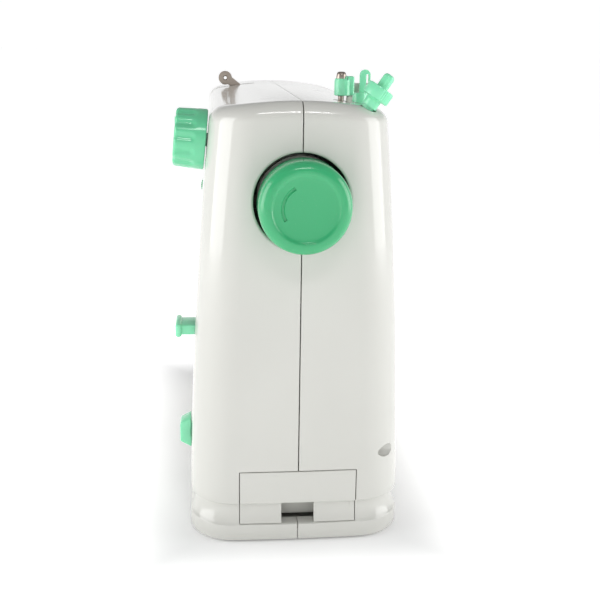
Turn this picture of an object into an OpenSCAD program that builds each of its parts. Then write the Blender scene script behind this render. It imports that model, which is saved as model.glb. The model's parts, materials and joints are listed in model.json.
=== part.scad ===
// Compact domestic sewing machine: two moulded case halves around a cast frame,
// with a bed, a throat space, an accessory drawer and its whole working train.
// Right end (handwheel) is +X, operator's side is -Y, up is +Z.

/* [Body] */
// Length of the case from head end to handwheel end
body_len = 292; // [270:1:320]
// Height of the case at its crown
body_top = 265; // [250:1:290]
// Depth of the case at the table
depth_base = 131; // [124:1:150]
// Depth that the case loses from the table to the top
depth_lost = 31; // [20:1:36]
// Outward bow of the front and rear faces at mid height
side_bow = 3.2; // [1:0.1:5]
// Drop of the top surface from its crown to its long edges
top_crown = 4; // [1:0.5:7]
// Rounding of the long top edges
top_round = 9; // [6:0.5:14]
// Plan radius of the upright corners
corner_r = 26; // [20:1:30]
// Wall of the moulded cases
wall = 2.5; // [2:0.1:3.2]

/* [Bed, throat and head] */
// Height of the bed surface
bed_top = 75; // [70:1:80]
// Height of the head's underside
head_z = 134; // [130:1:140]
// Height of the arm's underside
arm_z = 170; // [160:1:175]
// Length of the head along X
head_len = 88; // [84:1:100]
// Face of the column that closes the throat
column_x = 194; // [190:1:200]

/* [Base and drawer] */
// Height of the skirt at the foot of the case
skirt_h = 12; // [10:0.5:14]
// Height of the lower edge of the main case, above the cove
cove_top = 26.5; // [24:0.5:30]
// Depth of the cove
cove_depth = 2.4; // [1:0.1:3]
// Gap under the skirt that the rubber feet make
foot_gap = 1.5; // [1:0.1:3]
// Width of the accessory drawer's front
drawer_w = 70.6; // [60:0.2:76]
// Top edge of the drawer's front
drawer_top = 46.5; // [42:0.5:50]
// Length of the drawer
drawer_len = 62; // [50:1:66]
// Gap around the drawer's front
drawer_gap = 0.4; // [0.3:0.1:0.8]
// Width of the finger notch in the drawer's front
notch_w = 20; // [16:1:26]

/* [Handwheel and shafts] */
// Height of the main shaft
shaft_z = 210; // [205:1:214]
// Radius of the main and lower shafts
shaft_r = 4; // [3.5:0.1:4.5]
// Radius of the handwheel
wheel_r = 25.6; // [22:0.2:28]
// Gap between handwheel and case
wheel_gap = 1.8; // [1.2:0.1:3]
// How far the handwheel stands out of the case
wheel_out = 21; // [16:1:26]
// Height of the lower shaft and of the hook
hook_z = 53; // [50:1:54]
// Radial clearance of a turning or sliding fit
run_fit = 0.05; // [0.02:0.01:0.1]

/* [Stitch parts] */
// Distance of the needle from the head end
needle_x = 30; // [28:1:36]
// Travel of the needle bar
stroke = 30; // [26:1:32]
// Radius of the needle bar and of the presser bar
bar_r = 3; // [2.5:0.1:3.5]
// Distance from needle bar to presser bar
presser_y = 13; // [12:0.5:15]
// Radius of the bobbin
bobbin_r = 10; // [9:0.1:10.4]
// Radius of the shuttle hook
hook_r = 16.5; // [16:0.1:17]

/* [Controls] */
// Diameter of the stitch dial
dial_d = 35.4; // [28:0.2:40]
// Length of the stitch dial
dial_len = 19; // [14:0.5:22]
// Height of the stitch dial's centre
dial_z = 240; // [236:0.5:242]
// Distance of the front controls from the handwheel end
controls_in = 45; // [42:1:50]
// Height of the reverse lever
lever_z = 126; // [118:1:134]
// Height of the power and speed switch
switch_z = 57; // [55:1:62]
// Tilt of the spool pin towards the rear
spool_tilt = 34; // [20:1:40]

/* [Hidden] */
$fn = 48;
touch = 0.01;
// Width of the whole object along X and Y, used to set the origin
wheel_end = body_len + wheel_out;
half_base = depth_base / 2;
mid_x = wheel_end / 2;
// Distances of the reverse lever's face and of its pivot in front of the seam plane
lever_face = half_base + 8.7;
lever_pivot = half_base - 15.5;
mid_y = (half_base - lever_face) / 2;

// ---------- shape of the case ----------
shoulder_z = body_top - top_crown;
function case_half(z) = let (t = z / body_top)
    half_base - depth_lost / 2 * t + side_bow * 4 * t * (1 - t);
// How far a quarter-round corner of radius r has fallen back, d past its start
function corner_drop(d, r) = d <= 0 ? 0 : r - sqrt(max(0, r * r - d * d));
// Height over which the cove steps back out to the main case
cove_step = 1.4;
// Levels of the case as [height, inset]: skirt, concave cove, faces and rounded top
function case_levels() = concat(
    [[foot_gap, 0]],
    [for (u = [0:0.25:1]) [skirt_h + u * (cove_top - cove_step - skirt_h), cove_depth * (1 - pow(1 - u, 2))]],
    [[cove_top, 0]],
    [for (k = [1:5]) [cove_top + (shoulder_z - top_round - cove_top) * k / 5, 0]],
    [for (a = [22.5:22.5:90]) [shoulder_z - top_round * (1 - sin(a)), top_round * (1 - cos(a))]]);
// Stations across the depth from -1 (front) to 1 (rear), closer together at the corners
function stations(h, r) = concat(
    [for (a = [90:-18:0]) -(h - r + r * sin(a))],
    [for (k = [-2:2]) k / 3 * (h - r)],
    [for (a = [0:18:90]) h - r + r * sin(a)]);
function case_ring(z, inset, grow) = let (
        h = case_half(z) - inset - grow,
        r = min(corner_r, h - 8),
        lean = 3 * z / body_top,
        crown_here = top_crown * max(0, (z - shoulder_z + 30) / 30),
        ys = stations(h, r),
        n = len(ys))
    concat(
        [for (y = ys) [body_len - lean - inset - grow - corner_drop(abs(y) - h + r, r)
            - 2 * pow(y / h, 2), y, z + crown_here * (1 - pow(y / h, 2))]],
        [for (k = [n - 1:-1:0]) [inset + grow + corner_drop(abs(ys[k]) - h + r * 0.7, r * 0.7),
            ys[k], z + crown_here * (1 - pow(ys[k] / h, 2))]]);
// The case as one closed block, grow inside its outer face
module case_block(grow) {
    levels = case_levels();
    rings = [for (l = levels) case_ring(
        grow > 0 && l[0] > shoulder_z - top_round ? l[0] - grow : l[0], l[1], grow)];
    n = len(rings[0]);
    m = len(rings);
    half_n = n / 2;
    polyhedron(points = [for (ring = rings) each ring],
        faces = concat(
            [for (i = [0:m - 2], k = [0:n - 1])
                each [[i * n + k, (i + 1) * n + k, (i + 1) * n + (k + 1) % n],
                    [i * n + k, (i + 1) * n + (k + 1) % n, i * n + (k + 1) % n]]],
            [for (k = [0:half_n - 2])
                each [[k, k + 1, n - 2 - k], [k, n - 2 - k, n - 1 - k]]],
            [for (k = [0:half_n - 2]) let (b = (m - 1) * n)
                each [[b + k, b + n - 2 - k, b + k + 1], [b + k, b + n - 1 - k, b + n - 2 - k]]]));
}
// Points of a rounded corner about [x, z], from angle a0 to a1
function arc(x, z, r, a0, a1) = [for (k = [0:5]) let (a = a0 + (a1 - a0) * k / 5)
    [x + r * cos(a), z + r * sin(a)]];
throat_r = 14;
// The space under head and arm, as an outline along the length
function throat_outline(g) = concat(
    [[-20, bed_top - g]],
    arc(column_x + g - throat_r, bed_top - g + throat_r, throat_r, -90, 0),
    arc(column_x + g - throat_r, arm_z + g - throat_r, throat_r, 0, 90),
    arc(head_len - g + throat_r, arm_z + g - throat_r, throat_r, 90, 180),
    [[head_len - g, head_z + g], [-20, head_z + g]]);
module along_y(y0, y1) {
    translate([0, y1, 0]) rotate([90, 0, 0]) linear_extrude(y1 - y0) children();
}
module throat(g) {
    along_y(-90, 90) polygon(throat_outline(g));
}
// Helpers for straight pieces
module block(lo, hi) {
    translate(lo) cube([hi[0] - lo[0], hi[1] - lo[1], hi[2] - lo[2]]);
}
module rod_x(x0, x1, y, z, r) {
    translate([x0, y, z]) rotate([0, 90, 0]) cylinder(h = x1 - x0, r = r);
}
module rod_y(y0, y1, x, z, r) {
    translate([x, y0, z]) rotate([-90, 0, 0]) cylinder(h = y1 - y0, r = r);
}
module rod_z(z0, z1, x, y, r) {
    translate([x, y, z0]) cylinder(h = z1 - z0, r = r);
}
module washer_x(x0, x1, y, z, r, bore) {
    difference() {
        rod_x(x0, x1, y, z, r);
        rod_x(x0 - 1, x1 + 1, y, z, bore);
    }
}
module washer_z(z0, z1, x, y, r, bore) {
    difference() {
        rod_z(z0, z1, x, y, r);
        rod_z(z0 - 1, z1 + 1, x, y, bore);
    }
}

// ---------- places shared by several pieces ----------
control_x = body_len - controls_in;
drawer_half = drawer_w / 2;
drawer_x0 = body_len - drawer_len;
ledge_w = 9;
recess_r = wheel_r + wheel_gap;
recess_x0 = body_len - 12;
pulley_x = body_len - 24;
pulley_w = 9;
pulley_r = 22;
belt_t = 1.6;
motor_x = body_len - 66;
motor_y = -22;
motor_z = 96;
motor_r = 17;
timing_x = column_x + 9;
timing_w = 9;
timing_r = 13;
web_y = 27;
web_t = 4;
bush_r = shaft_r + 2.4;
bar_bush_r = bar_r + 1.6;
crank_x = needle_x + 14;
crank_arm = stroke / 2;
plate_t = 1.5;
plate_x0 = 11;
plate_x1 = 61;
plate_half = 30;
link_top = shaft_z + crank_arm;
stud_z = link_top - 30;
clamp_z = head_z - 8;
needle_tip = bed_top + 14;
take_up_x = needle_x + 23;
take_up_pivot = [-6, 228];
tension_y = -(case_half(185) - 11.5);
tension_z = 185;
tension_x = needle_x + 31;
tension_r = 14;
winder_x = body_len - 40;
winder_y = 26;
spool_x = body_len - 17;
spool_at = [42.9, 269];
loop_x = body_len - 66;
cover_half = 27;
cover_z0 = 20;
cover_z1 = 70;
slot_half = 6.5;
case_r = hook_r - 3.1;
race_x0 = needle_x - 4.4;
foot_places = [for (x = [34, body_len - 40], y = [-44, 44]) [x, y]];
// Case screws: [x, z], all from the rear into the cast frame
screw_places = [[60, 150], [20, 215], [column_x + 31, 112], [body_len - 34, 175],
    [66, 55], [160, 55]];
// Corner screw, from the rear into the front case: [x, z] and depth of its seat
corner_screw = [body_len - 8, 56];
corner_seat = 44;

// ---------- case ----------
module case_cavity() {
    difference() {
        intersection() {
            case_block(wall);
            block([-1, -90, -5], [body_len, 90, shoulder_z + top_crown]);
        }
        throat(wall);
        // ledge that the drawer slides over
        block([body_len - ledge_w, -drawer_half - drawer_gap, skirt_h - wall],
            [body_len, drawer_half + drawer_gap, skirt_h]);
    }
}
module case_hollow() {
    difference() {
        case_block(0);
        throat(0);
        case_cavity();
        // handwheel recess
        rod_x(recess_x0, body_len + 5, 0, shaft_z, recess_r);
        // drawer opening
        block([body_len - 12, -drawer_half - drawer_gap, skirt_h],
            [body_len + 5, drawer_half + drawer_gap, drawer_top + drawer_gap]);
        // hook cover opening and needle plate opening
        block([-5, -cover_half - 0.5, cover_z0 - 3], [12, cover_half + 0.5, cover_z1 + 0.5]);
        block([plate_x0 + 3, -plate_half + 3, bed_top - 6], [plate_x1 - 3, plate_half - 3, bed_top + 1]);
        block([plate_x0 - 0.2, -plate_half - 0.2, bed_top - plate_t],
            [plate_x1 + 0.2, plate_half + 0.2, bed_top + 1]);
        // bar openings and lamp window under the head
        rod_z(head_z - 2, head_z + 6, needle_x, 0, bar_r + 1.5);
        rod_z(head_z - 2, head_z + 6, needle_x, presser_y, bar_r + 1.2);
        block([needle_x + 16, -18, head_z - 2], [needle_x + 42, 6, head_z + 6]);
        // take-up slot over the top and down the front
        block([take_up_x - 2, -90, 212], [take_up_x + 5, -16, body_top + 5]);
        // tension dial slot
        block([tension_x - 1, -90, tension_z - tension_r], [tension_x + 7, tension_y, tension_z + tension_r]);
        // stitch dial hole, reverse lever slot and switch slot
        dial_frame() rod_y(-40, 20, 0, 0, 5);
        block([control_x - 10.5, -90, lever_z - slot_half - 1.5], [control_x + 10.5, -40, lever_z + slot_half]);
        block([control_x - 9, -90, switch_z - 3], [control_x + 9, -40, switch_z + 3]);
        // winder slot, spool pin hole and thread guide seats
        rod_z(body_top - 14, body_top + 5, winder_x, winder_y, 5);
        block([winder_x - 4, winder_y, body_top - 14], [winder_x + 4, winder_y + 8.6, body_top + 5]);
        rod_z(body_top - 14, body_top + 5, stopper_at[0], stopper_at[1], stopper_r + seat_gap);
        loop_stem(seat_gap);
        guide_stem(seat_gap);
        spool_frame() translate([0, 0, -40]) cylinder(h = 45, r = 5);
        // presser lifter hole
        rod_y(40, 90, needle_x, 158, 5);
        // socket openings
        for (z = [78, 96]) rod_y(40, 90, column_x + 40, z, 4.6);
        // screw wells in the rear face
        for (p = screw_places) rod_y(40, 90, p[0], p[1], 4);
        rod_y(20, 90, corner_screw[0], corner_screw[1], 4);
    }
}
function screw_seat(p) = case_half(p[1]) - 10;
// Wells that carry the screw heads, inside the rear case
module screw_wells() {
    for (p = screw_places) difference() {
        rod_y(screw_seat(p) - 2, case_half(p[1]) - wall + 0.8, p[0], p[1], 5.5);
        rod_y(screw_seat(p), 90, p[0], p[1], 4);
        rod_y(10, 90, p[0], p[1], 1.4);
    }
    difference() {
        rod_y(0, corner_seat + 5, corner_screw[0], corner_screw[1], 5);
        rod_y(corner_seat, 90, corner_screw[0], corner_screw[1], 4);
        rod_y(-1, 90, corner_screw[0], corner_screw[1], 1.4);
    }
}
// Post in the front case that the corner screw bites into
module corner_post() {
    difference() {
        rod_y(-52, 0, corner_screw[0], corner_screw[1], 5);
        rod_y(-12, 1, corner_screw[0], corner_screw[1], 1.4);
    }
}
module spool_frame() {
    translate([spool_x, spool_at[0], spool_at[1]]) rotate([-spool_tilt, 0, 0]) children();
}
module front_shell() {
    color("ivory") {
        intersection() {
            case_hollow();
            block([-5, -100, -5], [body_len + 5, 0, body_top + 10]);
        }
        corner_post();
    }
}
module rear_shell() {
    color("ivory") {
        intersection() {
            case_hollow();
            block([-5, 0, -5], [body_len + 5, 100, body_top + 10]);
        }
        screw_wells();
    }
}
module base_plate() {
    color("gainsboro") difference() {
        union() {
            block([8, -half_base + 12, foot_gap + 0.3], [body_len - 12, half_base - 12, foot_gap + 2.8]);
            block([26, -half_base + wall + 0.6, foot_gap + 0.3],
                [body_len - 32, half_base - wall - 0.6, foot_gap + 2.8]);
        }
        for (p = foot_places) rod_z(-1, foot_gap + 9, p[0], p[1], 3);
    }
}
module rubber_feet() {
    color("dimgray") for (p = foot_places) {
        rod_z(0, foot_gap + 0.3, p[0], p[1], 8);
        rod_z(foot_gap, foot_gap + 4, p[0], p[1], 3);
    }
}
// One pan-head screw from its seat forward to its tip, with a cross recess
module case_screw(p, seat, tip) {
    color("silver") difference() {
        union() {
            rod_y(seat, seat + 2.2, p[0], p[1], 3.2);
            rod_y(tip, seat + touch, p[0], p[1], 1.4);
        }
        block([p[0] - 2, seat + 1.2, p[1] - 0.4], [p[0] + 2, seat + 3, p[1] + 0.4]);
        block([p[0] - 0.4, seat + 1.2, p[1] - 2], [p[0] + 0.4, seat + 3, p[1] + 2]);
    }
}
module case_screws() {
    for (p = screw_places) case_screw(p, screw_seat(p), web_y);
    case_screw(corner_screw, corner_seat, -12);
}

// ---------- cast frame and bearings ----------
main_lugs = [needle_x + 32, column_x - 14, pulley_x - 9];
lower_lugs = [needle_x + 46, column_x - 10];
hook_lug = needle_x + 8;
lug_t = 6;
bar_lugs = [[140, 148], [228, 235]];
module bearing_lug(x, z) {
    block([x, -9, z - 9.5], [x + lug_t, web_y + touch, z + 9.5]);
}
module inner_frame() {
    color("lightslategray") difference() {
        union() {
            // web behind the shafts: head, arm, column and bed
            block([12, web_y, head_z + 6], [76, web_y + web_t, 236]);
            block([12, web_y, 196], [body_len - 28, web_y + web_t, 230]);
            block([column_x + 22, web_y, 60], [body_len - 28, web_y + web_t, 230]);
            block([36, web_y, 41], [column_x + 28, web_y + web_t, 65]);
            for (x = main_lugs) bearing_lug(x, shaft_z);
            for (x = lower_lugs) bearing_lug(x, hook_z);
            bearing_lug(hook_lug, hook_z);
            for (z = bar_lugs) block([needle_x - 7, -8, z[0]], [needle_x + 6, web_y + touch, z[1]]);
            // motor bracket
            block([motor_x + 36, -44, motor_z - 20], [motor_x + 39, web_y + touch, motor_z + 20]);
            // tension bracket
            block([main_lugs[0] + lug_t - touch, tension_y - 5, tension_z - 6],
                [main_lugs[0] + lug_t + 3, -4, shaft_z - 5]);
            // column feet that stand on the base plate beside the drawer
            block([column_x + 22, web_y, foot_gap + 2.8], [drawer_x0 - 6, web_y + web_t, 62]);
            block([44, web_y, foot_gap + 2.8], [60, web_y + web_t, 62]);
            // take-up pivot lug
            block([take_up_x + 5, -14, take_up_pivot[1] - 8], [take_up_x + 11, web_y + touch, take_up_pivot[1] + 8]);
        }
        for (x = main_lugs) rod_x(x - 1, x + lug_t + 1, 0, shaft_z, bush_r);
        for (x = concat(lower_lugs, [hook_lug])) rod_x(x - 1, x + lug_t + 1, 0, hook_z, bush_r);
        for (z = bar_lugs, y = [0, presser_y]) rod_z(z[0] - 1, z[1] + 1, needle_x, y, bar_bush_r);
        rod_x(motor_x + 30, motor_x + 45, motor_y, motor_z, 6);
        rod_y(web_y - 1, web_y + web_t + 1, needle_x, 158, 4.2);
        rod_x(take_up_x, take_up_x + 15, take_up_pivot[0], take_up_pivot[1], 3 + run_fit);
        rod_x(main_lugs[0], main_lugs[0] + 12, tension_y, tension_z, 2.5);
        for (p = screw_places) rod_y(web_y - 1, web_y + web_t + 1, p[0], p[1], 1.4);
    }
}
module shaft_bushes() {
    color("peru") {
        for (x = main_lugs) washer_x(x - 0.5, x + lug_t + 0.5, 0, shaft_z, bush_r, shaft_r + run_fit);
        for (x = concat(lower_lugs, [hook_lug]))
            washer_x(x - 0.5, x + lug_t + 0.5, 0, hook_z, bush_r, shaft_r + run_fit);
        for (z = bar_lugs, y = [0, presser_y])
            washer_z(z[0] - 0.5, z[1] + 0.5, needle_x, y, bar_bush_r, bar_r + run_fit);
    }
}

// ---------- drive ----------
module main_shaft() {
    color("silver") rod_x(crank_x, body_len + 12, 0, shaft_z, shaft_r);
}
module handwheel() {
    color("mediumseagreen") difference() {
        union() {
            translate([body_len - 6, 0, shaft_z]) rotate([0, 90, 0]) rotate_extrude()
                polygon(concat([[0, 0], [wheel_r - 1.5, 0], [wheel_r - 1.5, 6], [wheel_r, 8]],
                    [for (a = [0:15:90]) [wheel_r - 6 + 6 * cos(a), wheel_out + 6 - 6 + 6 * sin(a)]],
                    [[18.4, wheel_out + 6], [17, wheel_out + 4.8], [0, wheel_out + 4.2]]));
            rod_x(body_len - 14, body_len - 5, 0, shaft_z, 9);
        }
        rod_x(body_len - 20, body_len + 12, 0, shaft_z, shaft_r);
        difference() {
            rod_x(body_len - 7, body_len + 12, 0, shaft_z, wheel_r - 4);
            rod_x(body_len - 8, body_len + 13, 0, shaft_z, 9);
        }
    }
}
module shaft_pulley() {
    color("darkslategray") {
        washer_x(pulley_x, pulley_x + pulley_w, 0, shaft_z, pulley_r, shaft_r);
        for (x = [pulley_x, pulley_x + pulley_w - 1.2]) washer_x(x, x + 1.2, 0, shaft_z, pulley_r + 2.5, shaft_r);
    }
}
// A closed belt around two pulleys on X axes, t thick, with slack s off both
module belt(x0, w, c1, r1, c2, r2, t, s) {
    // the loop, drawn in the plane of the pulleys
    d = sqrt(pow(c2[0] - c1[0], 2) + pow(c2[1] - c1[1], 2));
    base = atan2(c2[1] - c1[1], c2[0] - c1[0]);
    wrap = acos((r1 - r2) / d);
    function loop_points(extra) = concat(
        [for (k = [0:12]) let (a = base + wrap + k * (360 - 2 * wrap) / 12)
            [c1[0] + (r1 + extra) * cos(a), c1[1] + (r1 + extra) * sin(a)]],
        [for (k = [0:8]) let (a = base - wrap + k * 2 * wrap / 8)
            [c2[0] + (r2 + extra) * cos(a), c2[1] + (r2 + extra) * sin(a)]]);
    translate([x0, 0, 0]) rotate([90, 0, 90]) linear_extrude(w) difference() {
        polygon(loop_points(s + t));
        polygon(loop_points(s));
    }
}
module drive_belt() {
    color("black") belt(pulley_x + 2, pulley_w - 4, [0, shaft_z], pulley_r, [motor_y, motor_z], 6, belt_t, 0.5);
}
module timing_belt() {
    color("black") belt(timing_x + 1.5, timing_w - 3, [0, shaft_z], timing_r, [0, hook_z], timing_r, belt_t, 0.4);
}
module timing_pulley(z) {
    color("whitesmoke") {
        washer_x(timing_x, timing_x + timing_w, 0, z, timing_r, shaft_r);
        for (x = [timing_x, timing_x + timing_w - 1]) washer_x(x, x + 1, 0, z, timing_r + 2.5, shaft_r);
    }
}
module upper_timing_pulley() {
    timing_pulley(shaft_z);
}
module lower_timing_pulley() {
    timing_pulley(hook_z);
}
module crank_disc() {
    color("darkgray") difference() {
        union() {
            rod_x(crank_x, crank_x + 6, 0, shaft_z, crank_arm + 4);
            rod_x(crank_x - 2.5, crank_x + touch, 0, shaft_z + crank_arm, 2.5);
        }
        rod_x(crank_x - touch, crank_x + 7, 0, shaft_z, shaft_r);
    }
}
module motor() {
    color("dimgray") difference() {
        union() {
            rod_x(motor_x, motor_x + 36, motor_y, motor_z, motor_r);
            rod_x(motor_x - 3, motor_x, motor_y, motor_z, 5);
            rod_x(motor_x + 36, motor_x + 39, motor_y, motor_z, 6);
        }
        rod_x(motor_x + 20, motor_x + 40, motor_y, motor_z, 1.5 + run_fit);
    }
}
module motor_pulley() {
    color("silver") {
        rod_x(motor_x + 22, pulley_x + pulley_w, motor_y, motor_z, 1.5);
        rod_x(pulley_x + 1, pulley_x + pulley_w, motor_y, motor_z, 6);
    }
}
module lower_shaft() {
    color("silver") {
        rod_x(needle_x + 38, timing_x + timing_w + 3, 0, hook_z, shaft_r);
        rod_x(needle_x + 37, needle_x + 42, 0, hook_z, 9);
    }
}

// ---------- needle, take-up and hook ----------
module needle_bar() {
    color("silver") rod_z(clamp_z, stroke + 220, needle_x, 0, bar_r);
}
module needle_link() {
    color("darkgray") {
        difference() {
            block([needle_x - 5.5, -5, stud_z - 4], [needle_x + 7 + touch, 5, stud_z + 4]);
            rod_z(stud_z - 5, stud_z + 5, needle_x, 0, bar_r);
        }
        block([needle_x + 7, -3.5, stud_z - 4], [needle_x + 10, 3.5, link_top + 3]);
    }
}
module needle_clamp() {
    color("silver") difference() {
        rod_z(clamp_z - 10, clamp_z + 3, needle_x, 0, 5);
        rod_z(clamp_z, clamp_z + 4, needle_x, 0, bar_r);
        rod_z(clamp_z - 11, clamp_z + 1, needle_x, 0, 1);
        rod_x(needle_x + 0.5, needle_x + 6, 0, clamp_z - 5, 1.5);
    }
}
module clamp_screw() {
    color("silver") {
        rod_x(needle_x + 1, needle_x + 6, 0, clamp_z - 5, 1.5);
        rod_x(needle_x + 6, needle_x + 12, 0, clamp_z - 5, 3.2);
    }
}
module needle() {
    color("gainsboro") {
        rod_z(clamp_z - 20, clamp_z, needle_x, 0, 1);
        rod_z(needle_tip + 3, clamp_z - 20 + touch, needle_x, 0, 0.45);
        translate([needle_x, 0, needle_tip]) cylinder(h = 3 + touch, r1 = 0.05, r2 = 0.45);
    }
}
// Centre line of the take-up lever as [y, z], and its width along the way
lever_path = [take_up_pivot, [-14, 243], [-23, 256], [-31.5, 263.5], [-38.5, 268.2]];
lever_half = 2.6;
// Unit vector square to the path at point k
function lever_side(k) = let (
        a = lever_path[max(0, k - 1)],
        b = lever_path[min(len(lever_path) - 1, k + 1)],
        along = (b - a) / norm(b - a))
    [-along[1], along[0]];
module take_up_lever() {
    last = len(lever_path) - 1;
    tip = lever_path[last];
    color("silver") difference() {
        union() {
            translate([take_up_x, 0, 0]) rotate([90, 0, 90]) linear_extrude(2.4) polygon(concat(
                [for (k = [0:last]) lever_path[k] + lever_half * lever_side(k)],
                [for (k = [last:-1:0]) lever_path[k] - lever_half * lever_side(k)]));
            rod_x(take_up_x, take_up_x + 2.4, tip[0], tip[1], 5.2);
            rod_x(take_up_x, take_up_x + 2.4, take_up_pivot[0], take_up_pivot[1], 6);
            rod_x(take_up_x, take_up_x + 13, take_up_pivot[0], take_up_pivot[1], 3);
        }
        rod_x(take_up_x - 1, take_up_x + 4, tip[0], tip[1], 1.7);
    }
}
module hook_shaft() {
    color("silver") {
        rod_x(needle_x + 3, needle_x + 22, 0, hook_z, shaft_r);
        difference() {
            union() {
                rod_x(needle_x + 16, needle_x + 22, 0, hook_z, 8);
                block([needle_x + 16, -3, hook_z - 13], [needle_x + 22, 3, hook_z]);
            }
            rod_x(needle_x + 15, needle_x + 23, 0, hook_z, shaft_r - touch);
        }
    }
}
module shuttle_hook() {
    color("silver") difference() {
        union() {
            rod_x(needle_x + 2.5, needle_x + 6, 0, hook_z, hook_r);
            // rim below the axis, open at the top where the needle passes
            difference() {
                rod_x(needle_x - 4, needle_x + 3, 0, hook_z, hook_r);
                rod_x(needle_x - 5, needle_x + 2.5, 0, hook_z, hook_r - 2.4);
                block([needle_x - 5, -hook_r - 1, hook_z - 6], [needle_x + 2.5, hook_r + 1, hook_z + hook_r + 1]);
            }
        }
        rod_x(needle_x + 3, needle_x + 7, 0, hook_z, shaft_r);
        rod_x(needle_x, needle_x + 4, 0, hook_z, 0.8);
    }
}
module hook_race() {
    color("darkgray") difference() {
        union() {
            washer_x(race_x0, needle_x + 6, 0, hook_z, hook_r + 3, hook_r + 0.4);
            block([needle_x - 2, 14, hook_z - 12], [needle_x + 6, web_y + web_t, hook_z + 4]);
        }
        rod_x(needle_x - 5, needle_x + 7, 0, hook_z, hook_r + 0.4);
        block([needle_x - 5, -hook_r - 4, hook_z + 6], [needle_x + 7, hook_r + 4, hook_z + hook_r + 5]);
    }
}
module bobbin_case() {
    color("silver") difference() {
        union() {
            rod_x(needle_x - 17, needle_x - 1.5, 0, hook_z, case_r);
            // position finger that rests in the race
            block([needle_x - 8, case_r - 2, hook_z - 3], [race_x0, hook_r + 2, hook_z + 1]);
        }
        difference() {
            rod_x(needle_x - 15.5, needle_x, 0, hook_z, bobbin_r + 1);
            rod_x(needle_x - 16, needle_x - 2.5, 0, hook_z, 2.5);
        }
    }
}
module bobbin() {
    color("silver") {
        for (x = [needle_x - 14.8, needle_x - 4.3])
            washer_x(x, x + 0.8, 0, hook_z, bobbin_r, 2.5 + run_fit);
        washer_x(needle_x - 14.1, needle_x - 4.2, 0, hook_z, 4, 2.5 + run_fit);
    }
}
module feed_bar() {
    color("darkgray") block([needle_x + 18, -7, bed_top - 12.5], [column_x - 20, 7, bed_top - 6]);
}
module feed_dog() {
    color("silver") {
        block([needle_x + 16, -13, bed_top - 6], [needle_x + 34, 13, bed_top - 4.4]);
        for (x = [needle_x - 6.5, needle_x + 3.5]) {
            block([x, -13, bed_top - 4.2], [x + 3, 13, bed_top - 0.6]);
        }
        block([needle_x - 6.5, -15, bed_top - 4.4 - touch], [needle_x + 34, -11, bed_top - 3]);
        block([needle_x - 6.5, 11, bed_top - 4.4 - touch], [needle_x + 34, 15, bed_top - 3]);
    }
}
module needle_plate() {
    color("silver") difference() {
        block([plate_x0, -plate_half, bed_top - plate_t], [plate_x1, plate_half, bed_top]);
        for (x = [needle_x - 7, needle_x + 3]) block([x, -17.5, bed_top - 3], [x + 4, 17.5, bed_top + 1]);
        block([needle_x - 1, -0.9, bed_top - 3], [needle_x + 1, 0.9, bed_top + 1]);
        for (y = [-22, 22]) rod_z(bed_top - 3, bed_top + 1, plate_x1 - 8, y, 1.6);
    }
}
module plate_screws() {
    color("silver") for (y = [-22, 22]) {
        rod_z(bed_top, bed_top + 0.8, plate_x1 - 8, y, 3);
        rod_z(bed_top - 2.4, bed_top, plate_x1 - 8, y, 1.6);
    }
}

// ---------- presser ----------
foot_z = bed_top + 0.3;
foot_collar = 172;
module presser_bar() {
    color("silver") {
        rod_z(foot_z + 9, 246, needle_x, presser_y, bar_r);
        difference() {
            block([needle_x - 5, presser_y - 4.5, foot_collar - 4], [needle_x + 5, presser_y + 4.5, foot_collar + 4]);
            rod_z(foot_collar - 5, foot_collar + 5, needle_x, presser_y, bar_r - touch);
        }
        block([needle_x - 4, presser_y + 4.4, foot_collar - 4], [needle_x + 4, web_y - 2, foot_collar]);
    }
}
module presser_spring() {
    color("silver") washer_z(foot_collar + 4, bar_lugs[1][0] - 0.5, needle_x, presser_y, bar_r + 1.7, bar_r + 0.6);
}
module presser_foot() {
    color("silver") difference() {
        union() {
            // sole with the open front of a zigzag foot, ankle and shank
            block([needle_x - 9, -14, foot_z], [needle_x + 9, 12, foot_z + 2.2]);
            block([needle_x - 4, 5, foot_z + 2.2 - touch], [needle_x + 4, 12, foot_z + 9]);
            block([needle_x - 5, presser_y - 5, foot_z + 8], [needle_x + 5, presser_y + 5, foot_z + 22]);
        }
        rod_z(foot_z + 9, foot_z + 23, needle_x, presser_y, bar_r);
        block([needle_x - 4, -2, foot_z - 1], [needle_x + 4, 2, foot_z + 3]);
        block([needle_x - 2, -15, foot_z - 1], [needle_x + 2, -1.9, foot_z + 3]);
        rod_x(needle_x - 6, needle_x - bar_r + 0.5, presser_y, foot_z + 15, 1.5);
    }
}
module foot_screw() {
    color("silver") {
        rod_x(needle_x - 6, needle_x - bar_r, presser_y, foot_z + 15, 1.5);
        rod_x(needle_x - 12, needle_x - 5, presser_y, foot_z + 15, 4);
    }
}
lifter_z = 158;
lifter_y = half_base - 4.3;
module presser_lifter() {
    color("whitesmoke") {
        rod_y(web_y - 6, lifter_y + 0.2, needle_x, lifter_z, 4);
        // cam that comes up under the presser bracket as the handle swings out
        block([needle_x, web_y - 6, lifter_z - 2], [needle_x + 14.6, web_y - 3, lifter_z + 2]);
        block([needle_x - 2, web_y - 6, lifter_z], [needle_x + 2, web_y - 3, lifter_z + 9.4]);
        block([needle_x - 5, lifter_y, lifter_z - 34], [needle_x + 5, lifter_y + 3.6, lifter_z + 5]);
    }
}

// ---------- controls ----------
// Lean of the front face from upright at height z, in degrees
function face_lean(z) = atan((case_half(z - 1) - case_half(z + 1)) / 2);
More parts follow.
